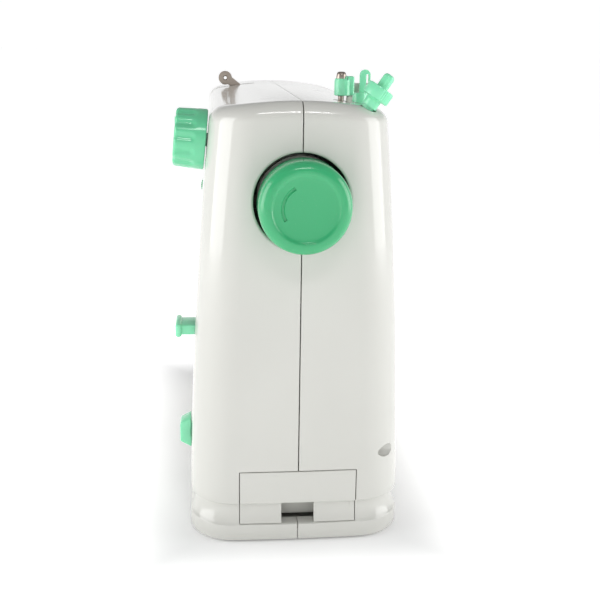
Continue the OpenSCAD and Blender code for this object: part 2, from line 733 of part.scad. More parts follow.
// Frame of the stitch dial: origin on the front face, -Y straight out of it
module dial_frame() {
    translate([control_x, -case_half(dial_z), dial_z]) rotate([-face_lean(dial_z), 0, 0]) children();
}
dial_gap = 0.6;
flutes = 13;
module pattern_dial() {
    color("mediumaquamarine") dial_frame() difference() {
        union() {
            rod_y(-dial_len, -dial_gap, 0, 0, dial_d / 2);
            rod_y(-dial_gap - touch, 36, 0, 0, 4);
        }
        // finger flutes
        for (k = [1:flutes]) rotate([0, k * 360 / flutes, 0]) rod_y(-dial_len - 1, -dial_gap - 7, dial_d / 2 + 1.2, 0, 2.2);
    }
}
module pattern_cam() {
    color("whitesmoke") dial_frame() difference() {
        union() {
            rod_y(17, 22, 0, 0, 13);
            rod_y(22 - touch, 26, 1.5, 0, 10);
        }
        rod_y(10, 30, 0, 0, 4);
    }
}
module reverse_lever() {
    color("mediumaquamarine") difference() {
        union() {
            block([control_x - 9, -lever_face, lever_z - 3.8], [control_x + 9, -lever_pivot, lever_z + 3.8]);
            block([control_x - 11, -lever_face, lever_z - 4.8], [control_x + 11, -lever_face + 3.9, lever_z + 4.8]);
            for (x = [control_x - 9, control_x + 4]) rod_x(x, x + 5, -lever_pivot, lever_z, 4.5);
        }
        rod_x(control_x - 12, control_x + 12, -lever_pivot, lever_z, 2 + run_fit);
        block([control_x - 4, -lever_pivot - 6, lever_z - 6], [control_x + 4, -lever_pivot + 6, lever_z + 6]);
    }
}
module lever_pin() {
    color("silver") {
        rod_x(control_x - 14, control_x + 14, -lever_pivot, lever_z, 2);
        for (x = [control_x - 14, control_x + 11])
            block([x, -case_half(lever_z) + wall + 0.6, lever_z - 4], [x + 3, -lever_pivot, lever_z + 4]);
    }
}
module lever_spring() {
    color("gray") washer_x(control_x - 3.6, control_x + 3.6, -lever_pivot, lever_z, 3.6, 2.2);
}
switch_out = 7;
module speed_switch() {
    face = case_half(switch_z) + 0.3;
    color("mediumaquamarine") {
        translate([control_x - 6, -face, switch_z]) rotate([90, 0, 90]) linear_extrude(12)
            polygon([[0, -10], [0, 10], [-switch_out + 0.4, 6.5], [-switch_out, 5], [-switch_out, -6]]);
        block([control_x - 4, -face - touch, switch_z - 2.5], [control_x + 4, -face + 6, switch_z + 2.5]);
    }
}
module switch_housing() {
    inner = case_half(switch_z) - wall - 3.8;
    color("black") difference() {
        block([control_x - 16, -inner - 2.5, switch_z - 8], [control_x + 16, -inner + 9, switch_z + 8]);
        block([control_x - 10, -inner - 3, switch_z - 3], [control_x + 10, -inner + 3.5, switch_z + 3]);
    }
}
module tension_dial() {
    color("mediumaquamarine") washer_x(tension_x, tension_x + 6, tension_y, tension_z, tension_r, 2.5 + run_fit);
}
module tension_discs() {
    color("silver") {
        rod_x(tension_x - 16, main_lugs[0] + lug_t + 3, tension_y, tension_z, 2.5);
        for (x = [tension_x - 12, tension_x - 9]) rod_x(x, x + 1.2, tension_y, tension_z, 8);
        rod_x(tension_x - 7.8, tension_x - 1.5, tension_y, tension_z, 4);
    }
}
module lamp_lens() {
    color("lightyellow") block([needle_x + 16.3, -17.7, head_z + 0.4], [needle_x + 41.7, 5.7, head_z + 5]);
}
module power_socket() {
    inner = case_half(87);
    color("black") for (z = [78, 96]) difference() {
        union() {
            rod_y(inner - 10, inner - 0.8, column_x + 40, z, 4.4);
            block([column_x + 34, inner - 16, z - 6], [column_x + 46, inner - 4.5, z + 6]);
        }
        rod_y(inner - 9, inner + 2, column_x + 40, z, 2.8);
    }
}

// ---------- drawer and hook cover ----------
drawer_face = body_len - 1.2;
front_t = 5;
module accessory_drawer() {
    inner_half = drawer_half - 1.2;
    color("ivory") difference() {
        union() {
            // front, stepped back where the cove runs across it
            block([drawer_face - front_t, -drawer_half, cove_top], [drawer_face, drawer_half, drawer_top]);
            block([drawer_face - front_t, -drawer_half, skirt_h + 0.3],
                [drawer_face - cove_depth, drawer_half, cove_top]);
            block([drawer_x0, -inner_half, skirt_h + 0.8], [drawer_face - front_t + 1, inner_half, drawer_top - 4]);
        }
        // the tray, open at the top
        block([drawer_x0 + 1.8, -inner_half + 1.8, skirt_h + 2.6],
            [drawer_face - 17, inner_half - 1.8, drawer_top + 1]);
        // hollow between tray and front, which the finger notch opens
        block([drawer_face - 15, -inner_half + 1.8, skirt_h - 1],
            [drawer_face - front_t, inner_half - 1.8, drawer_top - 8]);
        block([drawer_face - front_t - 1, -notch_w / 2, skirt_h - 1],
            [drawer_face + 1, notch_w / 2, skirt_h + 14]);
    }
}
module hook_cover() {
    color("ivory") difference() {
        union() {
            block([1, -cover_half, cover_z0], [3, cover_half, cover_z1]);
            rod_y(-cover_half, cover_half, 3, cover_z0, 2);
        }
        block([-1, -6, cover_z1 - 4], [1.8, 6, cover_z1 + 1]);
    }
}

// ---------- thread supply and bobbin winder ----------
stopper_at = [winder_x - 13, 38.4];
stopper_r = 4.4;
seat_gap = 0.1;
module loop_stem(g) {
    block([loop_x - g, 39.4 - g, 256], [loop_x + 2.6 + g, 46.8 + g, 268]);
}
module thread_guide() {
    color("mediumaquamarine") difference() {
        union() {
            loop_stem(0);
            block([loop_x, 39.4, 268 - touch], [loop_x + 2.6, 46.8, 276.8]);
            rod_x(loop_x, loop_x + 2.6, 43.1, 276.8, 3.7 - touch);
        }
        rod_x(loop_x - 1, loop_x + 4, 43.1, 276.8, 1.6);
        block([loop_x - 1, 42.3, 270], [loop_x + 4, 43.9, 277]);
    }
}
module guide_stem(g) {
    block([loop_x - 12 - g, 34 - g, 254], [loop_x - 10.4 + g, 41 + g, 267]);
}
module guide_plate() {
    color("darkgray") {
        guide_stem(0);
        block([loop_x - 12, 34, 266], [loop_x - 10.4, 50, 272]);
        block([loop_x - 12, 50 - touch, 268.8], [loop_x - 10.4, 58, 271]);
    }
}
module winder_stopper() {
    color("mediumaquamarine") rod_z(body_top - 8, 267.5, stopper_at[0], stopper_at[1], stopper_r);
}
module spool_base() {
    color("mediumaquamarine") spool_frame() difference() {
        union() {
            translate([0, 0, -3]) cylinder(h = 6.1, r = 7.9);
            translate([0, 0, -9]) cylinder(h = 7, r = 4.6);
        }
        translate([0, 0, -12]) cylinder(h = 20, r = 3.4 + run_fit);
    }
}
module spool_pin() {
    color("mediumaquamarine") spool_frame() translate([0, 0, -34]) cylinder(h = 46, r = 3.4);
}
module winder_carriage() {
    color("white") {
        difference() {
            block([winder_x - 7, winder_y - 6, 247], [winder_x + 7, winder_y + 6, 252]);
            rod_z(240, 260, winder_x, winder_y, 3 + run_fit);
        }
        block([winder_x - 2, winder_y + 3.3, 252 - touch], [winder_x + 2, winder_y + 4.7, 266]);
    }
}
module winder_spindle() {
    color("mediumaquamarine") {
        rod_z(236, 279.8, winder_x, winder_y, 2.4);
        rod_z(243, 246.6, winder_x, winder_y, 5);
        rod_z(246.6 - touch, 252.4, winder_x, winder_y, 3);
        rod_z(266.4, 276, winder_x, winder_y, 4.8);
    }
}
module winder_tyre() {
    color("dimgray") washer_z(237, 241.4, winder_x, winder_y, 8, 2.4);
}

// Everything is set so that the origin is under the middle of the object
module placed() {
    translate([-mid_x, -mid_y, 0]) children();
}
placed() front_shell();
placed() rear_shell();
placed() base_plate();
placed() rubber_feet();
placed() case_screws();
placed() inner_frame();
placed() shaft_bushes();
placed() motor();
placed() drive_belt();
placed() timing_belt();
placed() needle_plate();
placed() plate_screws();
placed() hook_race();
placed() bobbin_case();
placed() lamp_lens();
placed() power_socket();
placed() switch_housing();
placed() lever_pin();
placed() lever_spring();
placed() tension_discs();
placed() thread_guide();
placed() guide_plate();
placed() winder_stopper();
placed() spool_base();
placed() handwheel();
placed() main_shaft();
placed() shaft_pulley();
placed() upper_timing_pulley();
placed() crank_disc();
placed() motor_pulley();
placed() lower_shaft();
placed() lower_timing_pulley();
placed() needle_bar();
placed() needle_clamp();
placed() clamp_screw();
placed() needle();
placed() needle_link();
placed() take_up_lever();
placed() hook_shaft();
placed() shuttle_hook();
placed() bobbin();
placed() feed_bar();
placed() feed_dog();
placed() presser_bar();
placed() presser_spring();
placed() presser_foot();
placed() foot_screw();
placed() presser_lifter();
placed() pattern_dial();
placed() pattern_cam();
placed() reverse_lever();
placed() speed_switch();
placed() tension_dial();
placed() accessory_drawer();
placed() hook_cover();
placed() winder_carriage();
placed() winder_spindle();
placed() winder_tyre();
placed() spool_pin();
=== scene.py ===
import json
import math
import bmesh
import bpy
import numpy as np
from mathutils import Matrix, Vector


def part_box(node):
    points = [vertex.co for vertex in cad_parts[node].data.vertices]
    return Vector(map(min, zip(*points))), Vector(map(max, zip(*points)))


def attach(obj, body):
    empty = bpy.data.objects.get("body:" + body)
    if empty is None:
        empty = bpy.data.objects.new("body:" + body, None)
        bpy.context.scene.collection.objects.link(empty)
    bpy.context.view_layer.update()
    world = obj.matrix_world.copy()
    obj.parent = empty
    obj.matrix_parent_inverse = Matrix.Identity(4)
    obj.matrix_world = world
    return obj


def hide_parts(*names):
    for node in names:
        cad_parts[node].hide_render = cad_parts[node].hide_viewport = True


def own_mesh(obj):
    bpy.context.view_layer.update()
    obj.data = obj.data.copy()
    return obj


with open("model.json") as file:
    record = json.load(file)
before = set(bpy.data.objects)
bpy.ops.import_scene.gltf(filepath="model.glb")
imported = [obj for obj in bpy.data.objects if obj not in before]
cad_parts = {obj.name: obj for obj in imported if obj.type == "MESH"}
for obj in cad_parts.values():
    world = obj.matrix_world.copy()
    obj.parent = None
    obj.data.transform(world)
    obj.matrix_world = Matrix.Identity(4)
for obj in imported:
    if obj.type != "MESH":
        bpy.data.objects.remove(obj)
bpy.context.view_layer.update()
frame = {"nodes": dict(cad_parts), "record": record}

# %% [markdown]
# # A compact sewing machine, dressed in cells
# The working model comes in as a fixed frame: every shaft, screw and lever is already in its
# place and knows which body it moves with. What is left to make is what the eye meets, which is
# the glossy two-part case, its mint-green controls and the finish of each metal and plastic.
# Pieces are sized in millimetres, measured from the head end (x), the seam (y) and the table (z).
# Lamps, the floor and the relief of a surface are in metres.

MM = 0.001
corner = Vector((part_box("front_shell")[0].x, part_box("rear_shell")[0].y, 0))


def node_box(node):
    low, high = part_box(node)
    return (low - corner) / MM, (high - corner) / MM


print("case starts at", [round(c, 4) for c in corner], "with", len(frame["nodes"]), "nodes")

# %% [markdown]
# ## Sizes of the case
# The case is one smooth body described by a few numbers: it narrows from the table to the top,
# its long faces bow a little, and its top is crowned. The sizes that the frame can tell are
# read from it. The others are the moulding's own, such as its wall and its corner radius.

# %% Sizes of the case
body_len = round(node_box("front_shell")[1].x, 0)
body_top = round(node_box("front_shell")[1].z, 0)
half_base = 65.5
depth_lost = 31
side_bow = 3.2
top_crown = 4
top_round = 9
corner_r = 26
left_share = 0.7
end_lean = 3
end_bow = 2
wall = 2.5
foot_gap = 1.5
skirt_h = 12
cove_top = 26.5
cove_depth = 3.0
cove_step = 1.9
shoulder = body_top - top_crown
bed_top = 75
head_z = 134
arm_z = 170
head_len = 88
column_x = 194
throat_r = 14
shaft_z = sum(c.z for c in node_box("main_shaft")) / 2
control_x = body_len - 45
print("case", body_len, "long,", body_top, "high, shaft at", round(shaft_z, 1))

# %% [markdown]
# ## Camera
# The machine is seen from its handwheel end, from a little above and a little to the front, close
# enough for the long body to fall away behind the end face. The lens and the place are those of a
# product shot: a short telephoto about half a metre away.

# %% Camera
eye_mm = Vector((785.8, -50.33, 295.5))
pan = math.radians(5.73)
tilt = math.radians(15.86)
roll = math.radians(0.915)
look = Vector((-math.cos(pan) * math.cos(tilt), math.sin(pan) * math.cos(tilt), -math.sin(tilt)))
level = Vector((math.sin(pan), math.cos(pan), 0))
upright = level.cross(look)
across = level * math.cos(roll) + upright * math.sin(roll)
above = upright * math.cos(roll) - level * math.sin(roll)
lens_data = bpy.data.cameras.new("camera")
lens_data.lens = 54.35
camera = bpy.data.objects.new("camera", lens_data)
bpy.context.scene.collection.objects.link(camera)
camera.matrix_world = Matrix.Translation(corner + eye_mm * MM) @ Matrix(
    (across, above, -look)).transposed().to_4x4()
bpy.context.scene.camera = camera
print("camera at", [round(c, 3) for c in camera.location])

# %% [markdown]
# ## Light
# White plastic on a white sweep shows its form only through small steps of grey. A white surround
# does most of the work, and it darkens overhead, where the polished top mirrors it. A large soft
# box stands on each long side, and a narrow strip hangs high behind the camera. The sky's shader
# is worked out with the same small class as the materials, so that comes first.

# %% Shader expressions
class Wire:
    """An output socket with arithmetic: each operator adds the Math node that does it."""

    def __init__(self, sheet, socket):
        self.sheet = sheet
        self.socket = socket

    def math(self, operation, first, second=None):
        given = {0: first} if second is None else {0: first, 1: second}
        return self.sheet.node("ShaderNodeMath", {"operation": operation}, given)

    def __add__(self, other):
        return self.math("ADD", self, other)

    def __sub__(self, other):
        return self.math("SUBTRACT", self, other)

    def __mul__(self, other):
        return self.math("MULTIPLY", self, other)

    def __rsub__(self, other):
        return self.math("SUBTRACT", other, self)

    __radd__ = __add__
    __rmul__ = __mul__

    def absolute(self):
        return self.math("ABSOLUTE", self)

    def between(self, low, high):
        """0 below low, 1 above high and smooth in between."""
        settings = {"interpolation_type": "SMOOTHSTEP"}
        return self.sheet.node("ShaderNodeMapRange", settings, {"Value": self, 1: low, 2: high})


class Sheet:
    """The node sheet of a material or of the world."""

    def __init__(self, tree):
        self.tree = tree
        self.tree.nodes.clear()

    def node(self, kind, settings=None, sockets=None, out=0):
        made = self.tree.nodes.new(kind)
        for key, value in (settings or {}).items():
            setattr(made, key, value)
        for key, value in (sockets or {}).items():
            if isinstance(value, Wire):
                self.tree.links.new(value.socket, made.inputs[key])
            else:
                made.inputs[key].default_value = value
        return Wire(self, made.outputs[out]) if made.outputs else None

    def mix(self, factor, first, second):
        """A colour between first and second."""
        return self.node("ShaderNodeMix", {"data_type": "RGBA"},
                         {0: factor, 6: first, 7: second}, out=2)


# %% World, soft boxes and floor
scene = bpy.context.scene
scene.view_settings.view_transform = "Standard"
scene.world = bpy.data.worlds.new("studio")
scene.world.use_nodes = True
sky = Sheet(scene.world.node_tree)
toward = sky.node("ShaderNodeTexCoord", out=0)
height = sky.node("ShaderNodeSeparateXYZ", None, {0: toward}, out=2)
surround = sky.mix(height.between(0.05, 0.40), (1, 1, 1, 1), (0.31, 0.31, 0.315, 1))
sky_light = sky.node("ShaderNodeBackground", None, {"Color": surround, "Strength": 1.02})
sky.node("ShaderNodeOutputWorld", None, {0: sky_light})
lamps_face = Vector((0.05, 0, 0.14))


def soft_box(name, place, size, watts):
    light = bpy.data.lights.new(name, "AREA")
    light.shape = "RECTANGLE"
    light.size, light.size_y = size
    light.energy = watts
    lamp = bpy.data.objects.new(name, light)
    scene.collection.objects.link(lamp)
    lamp.location = place
    lamp.rotation_euler = (lamps_face - lamp.location).to_track_quat("-Z", "Y").to_euler()


soft_box("front_box", (0.25, -1.20, 0.36), (0.9, 1.1), 9.0)
soft_box("rear_box", (0.27, 1.2, 0.36), (0.8, 1.1), 7.5)
soft_box("strip_above", (1.25, 0.05, 1.35), (0.60, 0.12), 3.2)


# %% [markdown]
# ## Finishes
# Each finish is a recipe of nodes. Noise in the object's own coordinates gives the slow colour
# drift of a moulding, the fine ripple of its skin and the specks of use. Only colour, roughness
# and the surface's bump change from place to place. Everything else is one number on the shader.

# %% Finish base
class Finish(Sheet):
    """A named material, ready for its recipe."""

    def __init__(self, name):
        self.material = bpy.data.materials.new(name)
        self.material.use_nodes = True
        super().__init__(self.material.node_tree)
        self.place = self.node("ShaderNodeTexCoord", out=3)

    def noise(self, scale, detail=3.0, stretch=(1, 1, 1), rough=0.5):
        where = self.node("ShaderNodeMapping", None, {0: self.place, 3: stretch})
        return self.node("ShaderNodeTexNoise", None,
                         {"Vector": where, "Scale": scale, "Detail": detail, "Roughness": rough})

    def specks(self, scale, size):
        near = self.node("ShaderNodeTexVoronoi", None, {"Vector": self.place, "Scale": scale})
        return 1 - near.between(size * 0.5, size)

    def bump(self, relief, depth, strength=1.0):
        """Surface relief: relief times depth metres."""
        return self.node("ShaderNodeBump", None,
                         {"Strength": strength, "Distance": depth, "Height": relief})

    def surface(self, **sockets):
        named = {key.replace("_", " "): value for key, value in sockets.items()}
        shader = self.node("ShaderNodeBsdfPrincipled", None, named)
        self.node("ShaderNodeOutputMaterial", None, {0: shader})
        return self.material


def moulding(name, pale, deep, gloss=0.13, ripple=0.00001, grain=1400.0, coat=0.35, glow=0.0):
    """Injection-moulded plastic: slow colour drift, fine skin ripple, faint handling marks."""
    sheet = Finish(name)
    drift = sheet.noise(14.0, 2.0)
    marks = sheet.noise(55.0, 5.0, (1, 1, 0.35)).between(0.60, 0.74)
    dust = sheet.specks(420.0, 0.09)
    colour = sheet.mix(drift.between(0.3, 0.7), pale, deep)
    relief = sheet.noise(grain, 2.0) + sheet.noise(90.0, 1.0) * 1.5
    return sheet.surface(
        Base_Color=sheet.mix(dust * 0.12, colour, (0.35, 0.33, 0.28, 1)),
        Roughness=marks * 0.06 + dust * 0.10 + gloss,
        Normal=sheet.bump(relief, ripple), Coat_Weight=coat, Coat_Roughness=0.04,
        Subsurface_Weight=glow, Subsurface_Radius=(0.004, 0.005, 0.003), IOR=1.5)


# %% Metals
def ground_metal(name, colour, stain, rough, along=(1, 1, 1), lines=2600.0, depth=0.000006):
    """Machined metal: fine lines one way, soft oily stains and a few pits."""
    sheet = Finish(name)
    lines_of_tool = sheet.noise(lines, 3.0, along)
    film = sheet.noise(38.0, 4.0).between(0.42, 0.72)
    pits = sheet.specks(700.0, 0.10)
    return sheet.surface(
        Base_Color=sheet.mix(film * 0.5 + pits * 0.35, colour, stain),
        Roughness=film * 0.12 + lines_of_tool * 0.10 + rough, Metallic=1.0,
        Normal=sheet.bump(lines_of_tool - pits * 2, depth))


def cast_metal(name, colour, shade):
    """Sand-coloured casting skin: pebbled, dull, with slow clouds of darker tone."""
    sheet = Finish(name)
    pebbles = sheet.noise(520.0, 5.0, rough=0.62)
    cloud = sheet.noise(26.0, 3.0)
    return sheet.surface(
        Base_Color=sheet.mix(cloud.between(0.35, 0.7), colour, shade),
        Roughness=pebbles * 0.25 + 0.42, Metallic=0.85, Normal=sheet.bump(pebbles, 0.00012))


def sintered(name, colour, shade):
    """Pressed-powder bushes, full of tiny oil pores."""
    sheet = Finish(name)
    pores = sheet.specks(1500.0, 0.22)
    cloud = sheet.noise(60.0, 3.0)
    return sheet.surface(
        Base_Color=sheet.mix(pores * 0.7 + cloud * 0.2, colour, shade),
        Roughness=pores * 0.3 + 0.34, Metallic=0.9, Normal=sheet.bump(1 - pores, 0.00006))


# %% Rubbers, dark plastics and the lens
def soft_rubber(name, colour, bloom, rib_scale=0.0):
    """Matt rubber with a pale bloom; a belt also has its moulded ribs."""
    sheet = Finish(name)
    grains = sheet.noise(1100.0, 3.0)
    bloomed = sheet.noise(45.0, 4.0).between(0.45, 0.75)
    relief = grains
    if rib_scale:
        relief = grains * 0.3 + sheet.node("ShaderNodeTexWave", {"bands_direction": "Z"},
                                           {"Vector": sheet.place, "Scale": rib_scale}) * 2
    return sheet.surface(
        Base_Color=sheet.mix(bloomed * 0.5, colour, bloom),
        Roughness=grains * 0.2 + 0.62, Normal=sheet.bump(relief, 0.00006))


def frosted(name):
    """The lamp's lens: clear plastic with a frosted inner face."""
    sheet = Finish(name)
    frost = sheet.noise(900.0, 3.0)
    return sheet.surface(
        Base_Color=sheet.mix(frost, (0.95, 0.94, 0.86, 1), (0.86, 0.86, 0.80, 1)),
        Roughness=frost * 0.25 + 0.28, Normal=sheet.bump(frost, 0.00004),
        Transmission_Weight=0.75, IOR=1.49)


# %% The shelf of finishes
finishes = {
    "case_white": moulding("case_white", (0.635, 0.635, 0.595, 1), (0.615, 0.615, 0.575, 1)),
    "base_white": moulding("base_white", (0.70, 0.70, 0.65, 1), (0.64, 0.64, 0.59, 1), 0.42, 0.00005,
                           coat=0.0),
    "mint_plastic": moulding("mint_plastic", (0.040, 0.425, 0.172, 1), (0.033, 0.40, 0.158, 1), 0.2,
                             glow=0.12),
    "inner_plastic": moulding("inner_plastic", (0.72, 0.71, 0.65, 1), (0.66, 0.645, 0.57, 1), 0.45,
                              0.00003, coat=0.0),
    "black_plastic": moulding("black_plastic", (0.028, 0.028, 0.030, 1), (0.02, 0.02, 0.02, 1), 0.46,
                              0.00006, 900.0, 0.0),
    "motor_can": moulding("motor_can", (0.075, 0.075, 0.08, 1), (0.05, 0.05, 0.055, 1), 0.36,
                          0.00004, 700.0, 0.3),
    "steel": ground_metal("steel", (0.72, 0.71, 0.69, 1), (0.48, 0.43, 0.38, 1), 0.16),
    "polished_steel": ground_metal("polished_steel", (0.68, 0.67, 0.65, 1), (0.45, 0.42, 0.38, 1),
                                   0.22, (1, 1, 0.04)),
    "cast_frame": cast_metal("cast_frame", (0.46, 0.47, 0.48, 1), (0.32, 0.33, 0.34, 1)),
    "bronze": sintered("bronze", (0.60, 0.40, 0.20, 1), (0.20, 0.12, 0.06, 1)),
    "rubber": soft_rubber("rubber", (0.045, 0.043, 0.042, 1), (0.11, 0.105, 0.10, 1)),
    "belt_rubber": soft_rubber("belt_rubber", (0.018, 0.018, 0.018, 1), (0.06, 0.058, 0.055, 1), 90.0),
    "clear_lens": frosted("clear_lens"),
}
# painted light: two copies of the mint plastic, made paler to stand for the stronger light on the stitch
# dial and on the small mouldings, and a browner steel
mint_painted_lighter = moulding("mint_plastic_painted_lighter", (0.15, 0.64, 0.35, 1), (0.13, 0.60, 0.32, 1), 0.2, glow=0.15)
mint_painted_lightest = moulding("mint_plastic_painted_lightest", (0.26, 0.82, 0.50, 1), (0.23, 0.78, 0.46, 1), 0.2, glow=0.2)
dark_steel = ground_metal("steel_take_up", (0.40, 0.345, 0.30, 1), (0.24, 0.20, 0.17, 1), 0.24)
print(len(finishes), "finishes on the shelf")

# %% Floor
sweep_finish = Finish("sweep_paper")
tooth = sweep_finish.noise(300.0, 4.0)
middle = corner + Vector((body_len / 2, 0, 0)) * MM
spot = [sweep_finish.node("ShaderNodeSeparateXYZ", None, {0: sweep_finish.place}, out=i)
        for i in (0, 1)]
past = [(part - at).absolute() - half * MM
        for part, at, half in zip(spot, middle, (body_len / 2, half_base))]
# The floor glows. Over the first six centimetres from the case its glow drops to a fifth, a painted
# contact shadow round the base.
out_of_painted_shadow = past[0].math("MAXIMUM", past[0], past[1]).between(-0.004, 0.06)
sweep_finish.surface(
    Base_Color=sweep_finish.mix(tooth, (0.97, 0.97, 0.97, 1), (0.95, 0.95, 0.95, 1)),
    Roughness=tooth * 0.1 + 0.8, Normal=sweep_finish.bump(tooth, 0.00002), Specular_IOR_Level=0.1,
    Emission_Color=sweep_finish.mix(out_of_painted_shadow, (0.2, 0.2, 0.2, 1), (1, 1, 1, 1)),
    Emission_Strength=0.66)
sweep_mesh = bpy.data.meshes.new("sweep")
far_off = 30
sweep_corners = [(-far_off, -far_off, 0), (far_off, -far_off, 0),
                 (far_off, far_off, 0), (-far_off, far_off, 0)]
sweep_mesh.from_pydata(sweep_corners, [], [(0, 1, 2, 3)])
sweep = bpy.data.objects.new("sweep", sweep_mesh)
sweep_mesh.materials.append(sweep_finish.material)
scene.collection.objects.link(sweep)


# %% [markdown]
# ## A few ways of making a mesh
# Three kinds of form cover the machine. A loft joins a row of equal rings, a lathe turns a
# profile round an axis, with or without a bore, and a plate pushes an outline along a direction.
# Each comes out closed, because only closed bodies can be cut by others. `carve` does the
# cutting, `ease` rounds what is still sharp, and `dress` hands the piece its finish and its body.

# %% Mesh makers
def new_piece(name, points, faces):
    mesh = bpy.data.meshes.new(name)
    mesh.from_pydata([corner + Vector(p) * MM for p in points], [], faces)
    work = bmesh.new()
    work.from_mesh(mesh)
    bmesh.ops.remove_doubles(work, verts=work.verts, dist=1e-7)
    bmesh.ops.recalc_face_normals(work, faces=work.faces)
    work.to_mesh(mesh)
    work.free()
    piece = bpy.data.objects.new(name, mesh)
    scene.collection.objects.link(piece)
    return piece


def wrap(rings, closed=False):
    """The points of equal rings, and the faces from each ring to the next."""
    n, count = len(rings[0]), len(rings)
    faces = []
    for i in range(count if closed else count - 1):
        here, there = i * n, (i + 1) % count * n
        faces += [(here + k, here + (k + 1) % n, there + (k + 1) % n, there + k) for k in range(n)]
    return [p for ring in rings for p in ring], faces


def loft(name, rings):
    """Joins equal rings of points and closes the first and the last."""
    points, faces = wrap(rings)
    n = len(rings[0])
    faces += [tuple(range(n)), tuple(range(len(points) - n, len(points)))]
    return new_piece(name, points, faces)


def basis(axis, start=(0, 0, 1)):
    """Two directions square to axis and to each other; the first is as near start as it can be."""
    axis = Vector(axis).normalized()
    up = Vector(start)
    if abs(up.dot(axis)) > 0.95:
        up = Vector((0, 1, 0))
    up = (up - axis * up.dot(axis)).normalized()
    return axis, up, axis.cross(up)


def lathe(name, origin, axis, profile, steps=96, shape=None):
    """Turns (radius, height) pairs round the axis; shape may change a radius by angle and height."""
    axis, up, side = basis(axis)
    origin = Vector(origin)
    rings = []
    for radius, high in profile:
        ring = []
        for k in range(steps):
            turn = 2 * math.pi * k / steps
            r = shape(turn, radius, high) if shape else radius
            ring.append(origin + axis * high + (up * math.cos(turn) + side * math.sin(turn)) * r)
        rings.append(ring)
    return loft(name, rings)


def turned_ring(name, origin, axis, profile, steps=96, shape=None):
    """A lathe for a profile that closes on itself round a bore."""
    axis, up, side = basis(axis)
    origin = Vector(origin)
    rings = []
    for k in range(steps):
        turn = 2 * math.pi * k / steps
        outward = up * math.cos(turn) + side * math.sin(turn)
        rings.append([origin + axis * high + outward * (shape(turn, radius, high) if shape else radius)
                      for radius, high in profile])
    return new_piece(name, *wrap(rings, closed=True))


def grip(count, depth, beyond, power=1, lower_half=False):
    """A shape for the lathe: notches where the radius is beyond a limit, or on its lower half only."""
    def shape(turn, radius, high):
        if radius <= beyond or (lower_half and math.cos(turn) >= -0.1):
            return radius
        return radius - depth * (0.5 + 0.5 * math.cos(count * turn)) ** power
    return shape


def along_x(y, z, x):
    return x, y, z


def along_y(x, z, y):
    return x, y, z


def along_z(x, y, z):
    return x, y, z


def plate(name, outline, low, high, place):
    """Pushes a flat outline from low to high; place tells which way."""
    return loft(name, [[place(u, v, w) for u, v in outline] for w in (low, high)])


def block(low, high, name="block"):
    sides = [(low[0], low[1]), (high[0], low[1]), (high[0], high[1]), (low[0], high[1])]
    return plate(name, sides, low[2], high[2], along_z)


def rounded_box(name, low, high, ease_by, steps=4):
    return ease(block(low, high, name), ease_by, steps)


def bar(start, end, r, steps=48):
    """A plain round bar between two points, for cutting and joining."""
    start, end = Vector(start), Vector(end)
    return lathe("bar", start, end - start, [(r, 0), (r, (end - start).length)], steps)


def tube(name, path, radius, sides=16):
    """A round bar along a path of points."""
    path = [Vector(p) for p in path]
    rings = []
    up = None
    for k, p in enumerate(path):
        along = (path[min(k + 1, len(path) - 1)] - path[max(k - 1, 0)]).normalized()
        up = basis(along, up or (0.3, 0.2, 1))[1]
        side = along.cross(up)
        turns = [2 * math.pi * j / sides for j in range(sides)]
        rings.append([p + (up * math.cos(t) + side * math.sin(t)) * radius for t in turns])
    return loft(name, rings)


# %% Cutting, easing and dressing
def settle(piece):
    """Makes the piece's modifiers part of its mesh."""
    bpy.context.view_layer.update()
    seen = piece.evaluated_get(bpy.context.evaluated_depsgraph_get())
    mesh = bpy.data.meshes.new_from_object(seen)
    old = piece.data
    piece.modifiers.clear()
    piece.data = mesh
    bpy.data.meshes.remove(old)
    return piece


def carve(piece, *tools, operation="DIFFERENCE"):
    """Cuts the tools out of the piece, or joins or intersects them, and throws the tools away."""
    for tool in tools:
        cut = piece.modifiers.new("carve", "BOOLEAN")
        cut.solver = "MANIFOLD"
        cut.operation = operation
        cut.object = tool
    settle(piece)
    for tool in tools:
        bpy.data.objects.remove(tool)
    return piece


def join(piece, *others):
    return carve(piece, *others, operation="UNION")


def ease(piece, width, steps=3, sharper_than=32):
    """Rounds every edge that bends by more than the given angle."""
    bevel = piece.modifiers.new("ease", "BEVEL")
    bevel.width = width * MM
    bevel.segments = steps
    bevel.limit_method = "ANGLE"
    bevel.angle_limit = math.radians(sharper_than)
    bevel.use_clamp_overlap = True
    return settle(piece)


def dress(piece, slot, body, *nodes, finish=None, smooth_to=38):
    """Gives the piece its finish, its body and the CAD nodes that it stands for."""
    piece.data.materials.clear()
    piece.data.materials.append(finish or finishes[slot])
    piece.data.shade_smooth()
    piece.data.set_sharp_from_angle(angle=math.radians(smooth_to))
    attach(piece, body)
    if nodes:
        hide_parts(*nodes)
    print(piece.name, len(piece.data.polygons), "faces")
    return piece


# %% [markdown]
# ## The case as one formula
# The two halves are mouldings with no flat face, so they are best described by a formula: at each
# height a ring is laid out, with its two ends, its corners and its long faces. The list of levels
# holds the skirt, the concave cove above it, the faces and the rounded top edge. The seam gets its
# own soft edge, which is what makes a real parting line show.

# %% Case formula
seam_gap = 0.26
seam_round = 0.6


def case_half(z):
    t = z / body_top
    return half_base - depth_lost / 2 * t + side_bow * 4 * t * (1 - t)


def fall_back(beyond, r):
    """How far a quarter-round corner of radius r has fallen back, beyond its start."""
    return 0 if beyond <= 0 else r - math.sqrt(max(0, r * r - beyond * beyond))


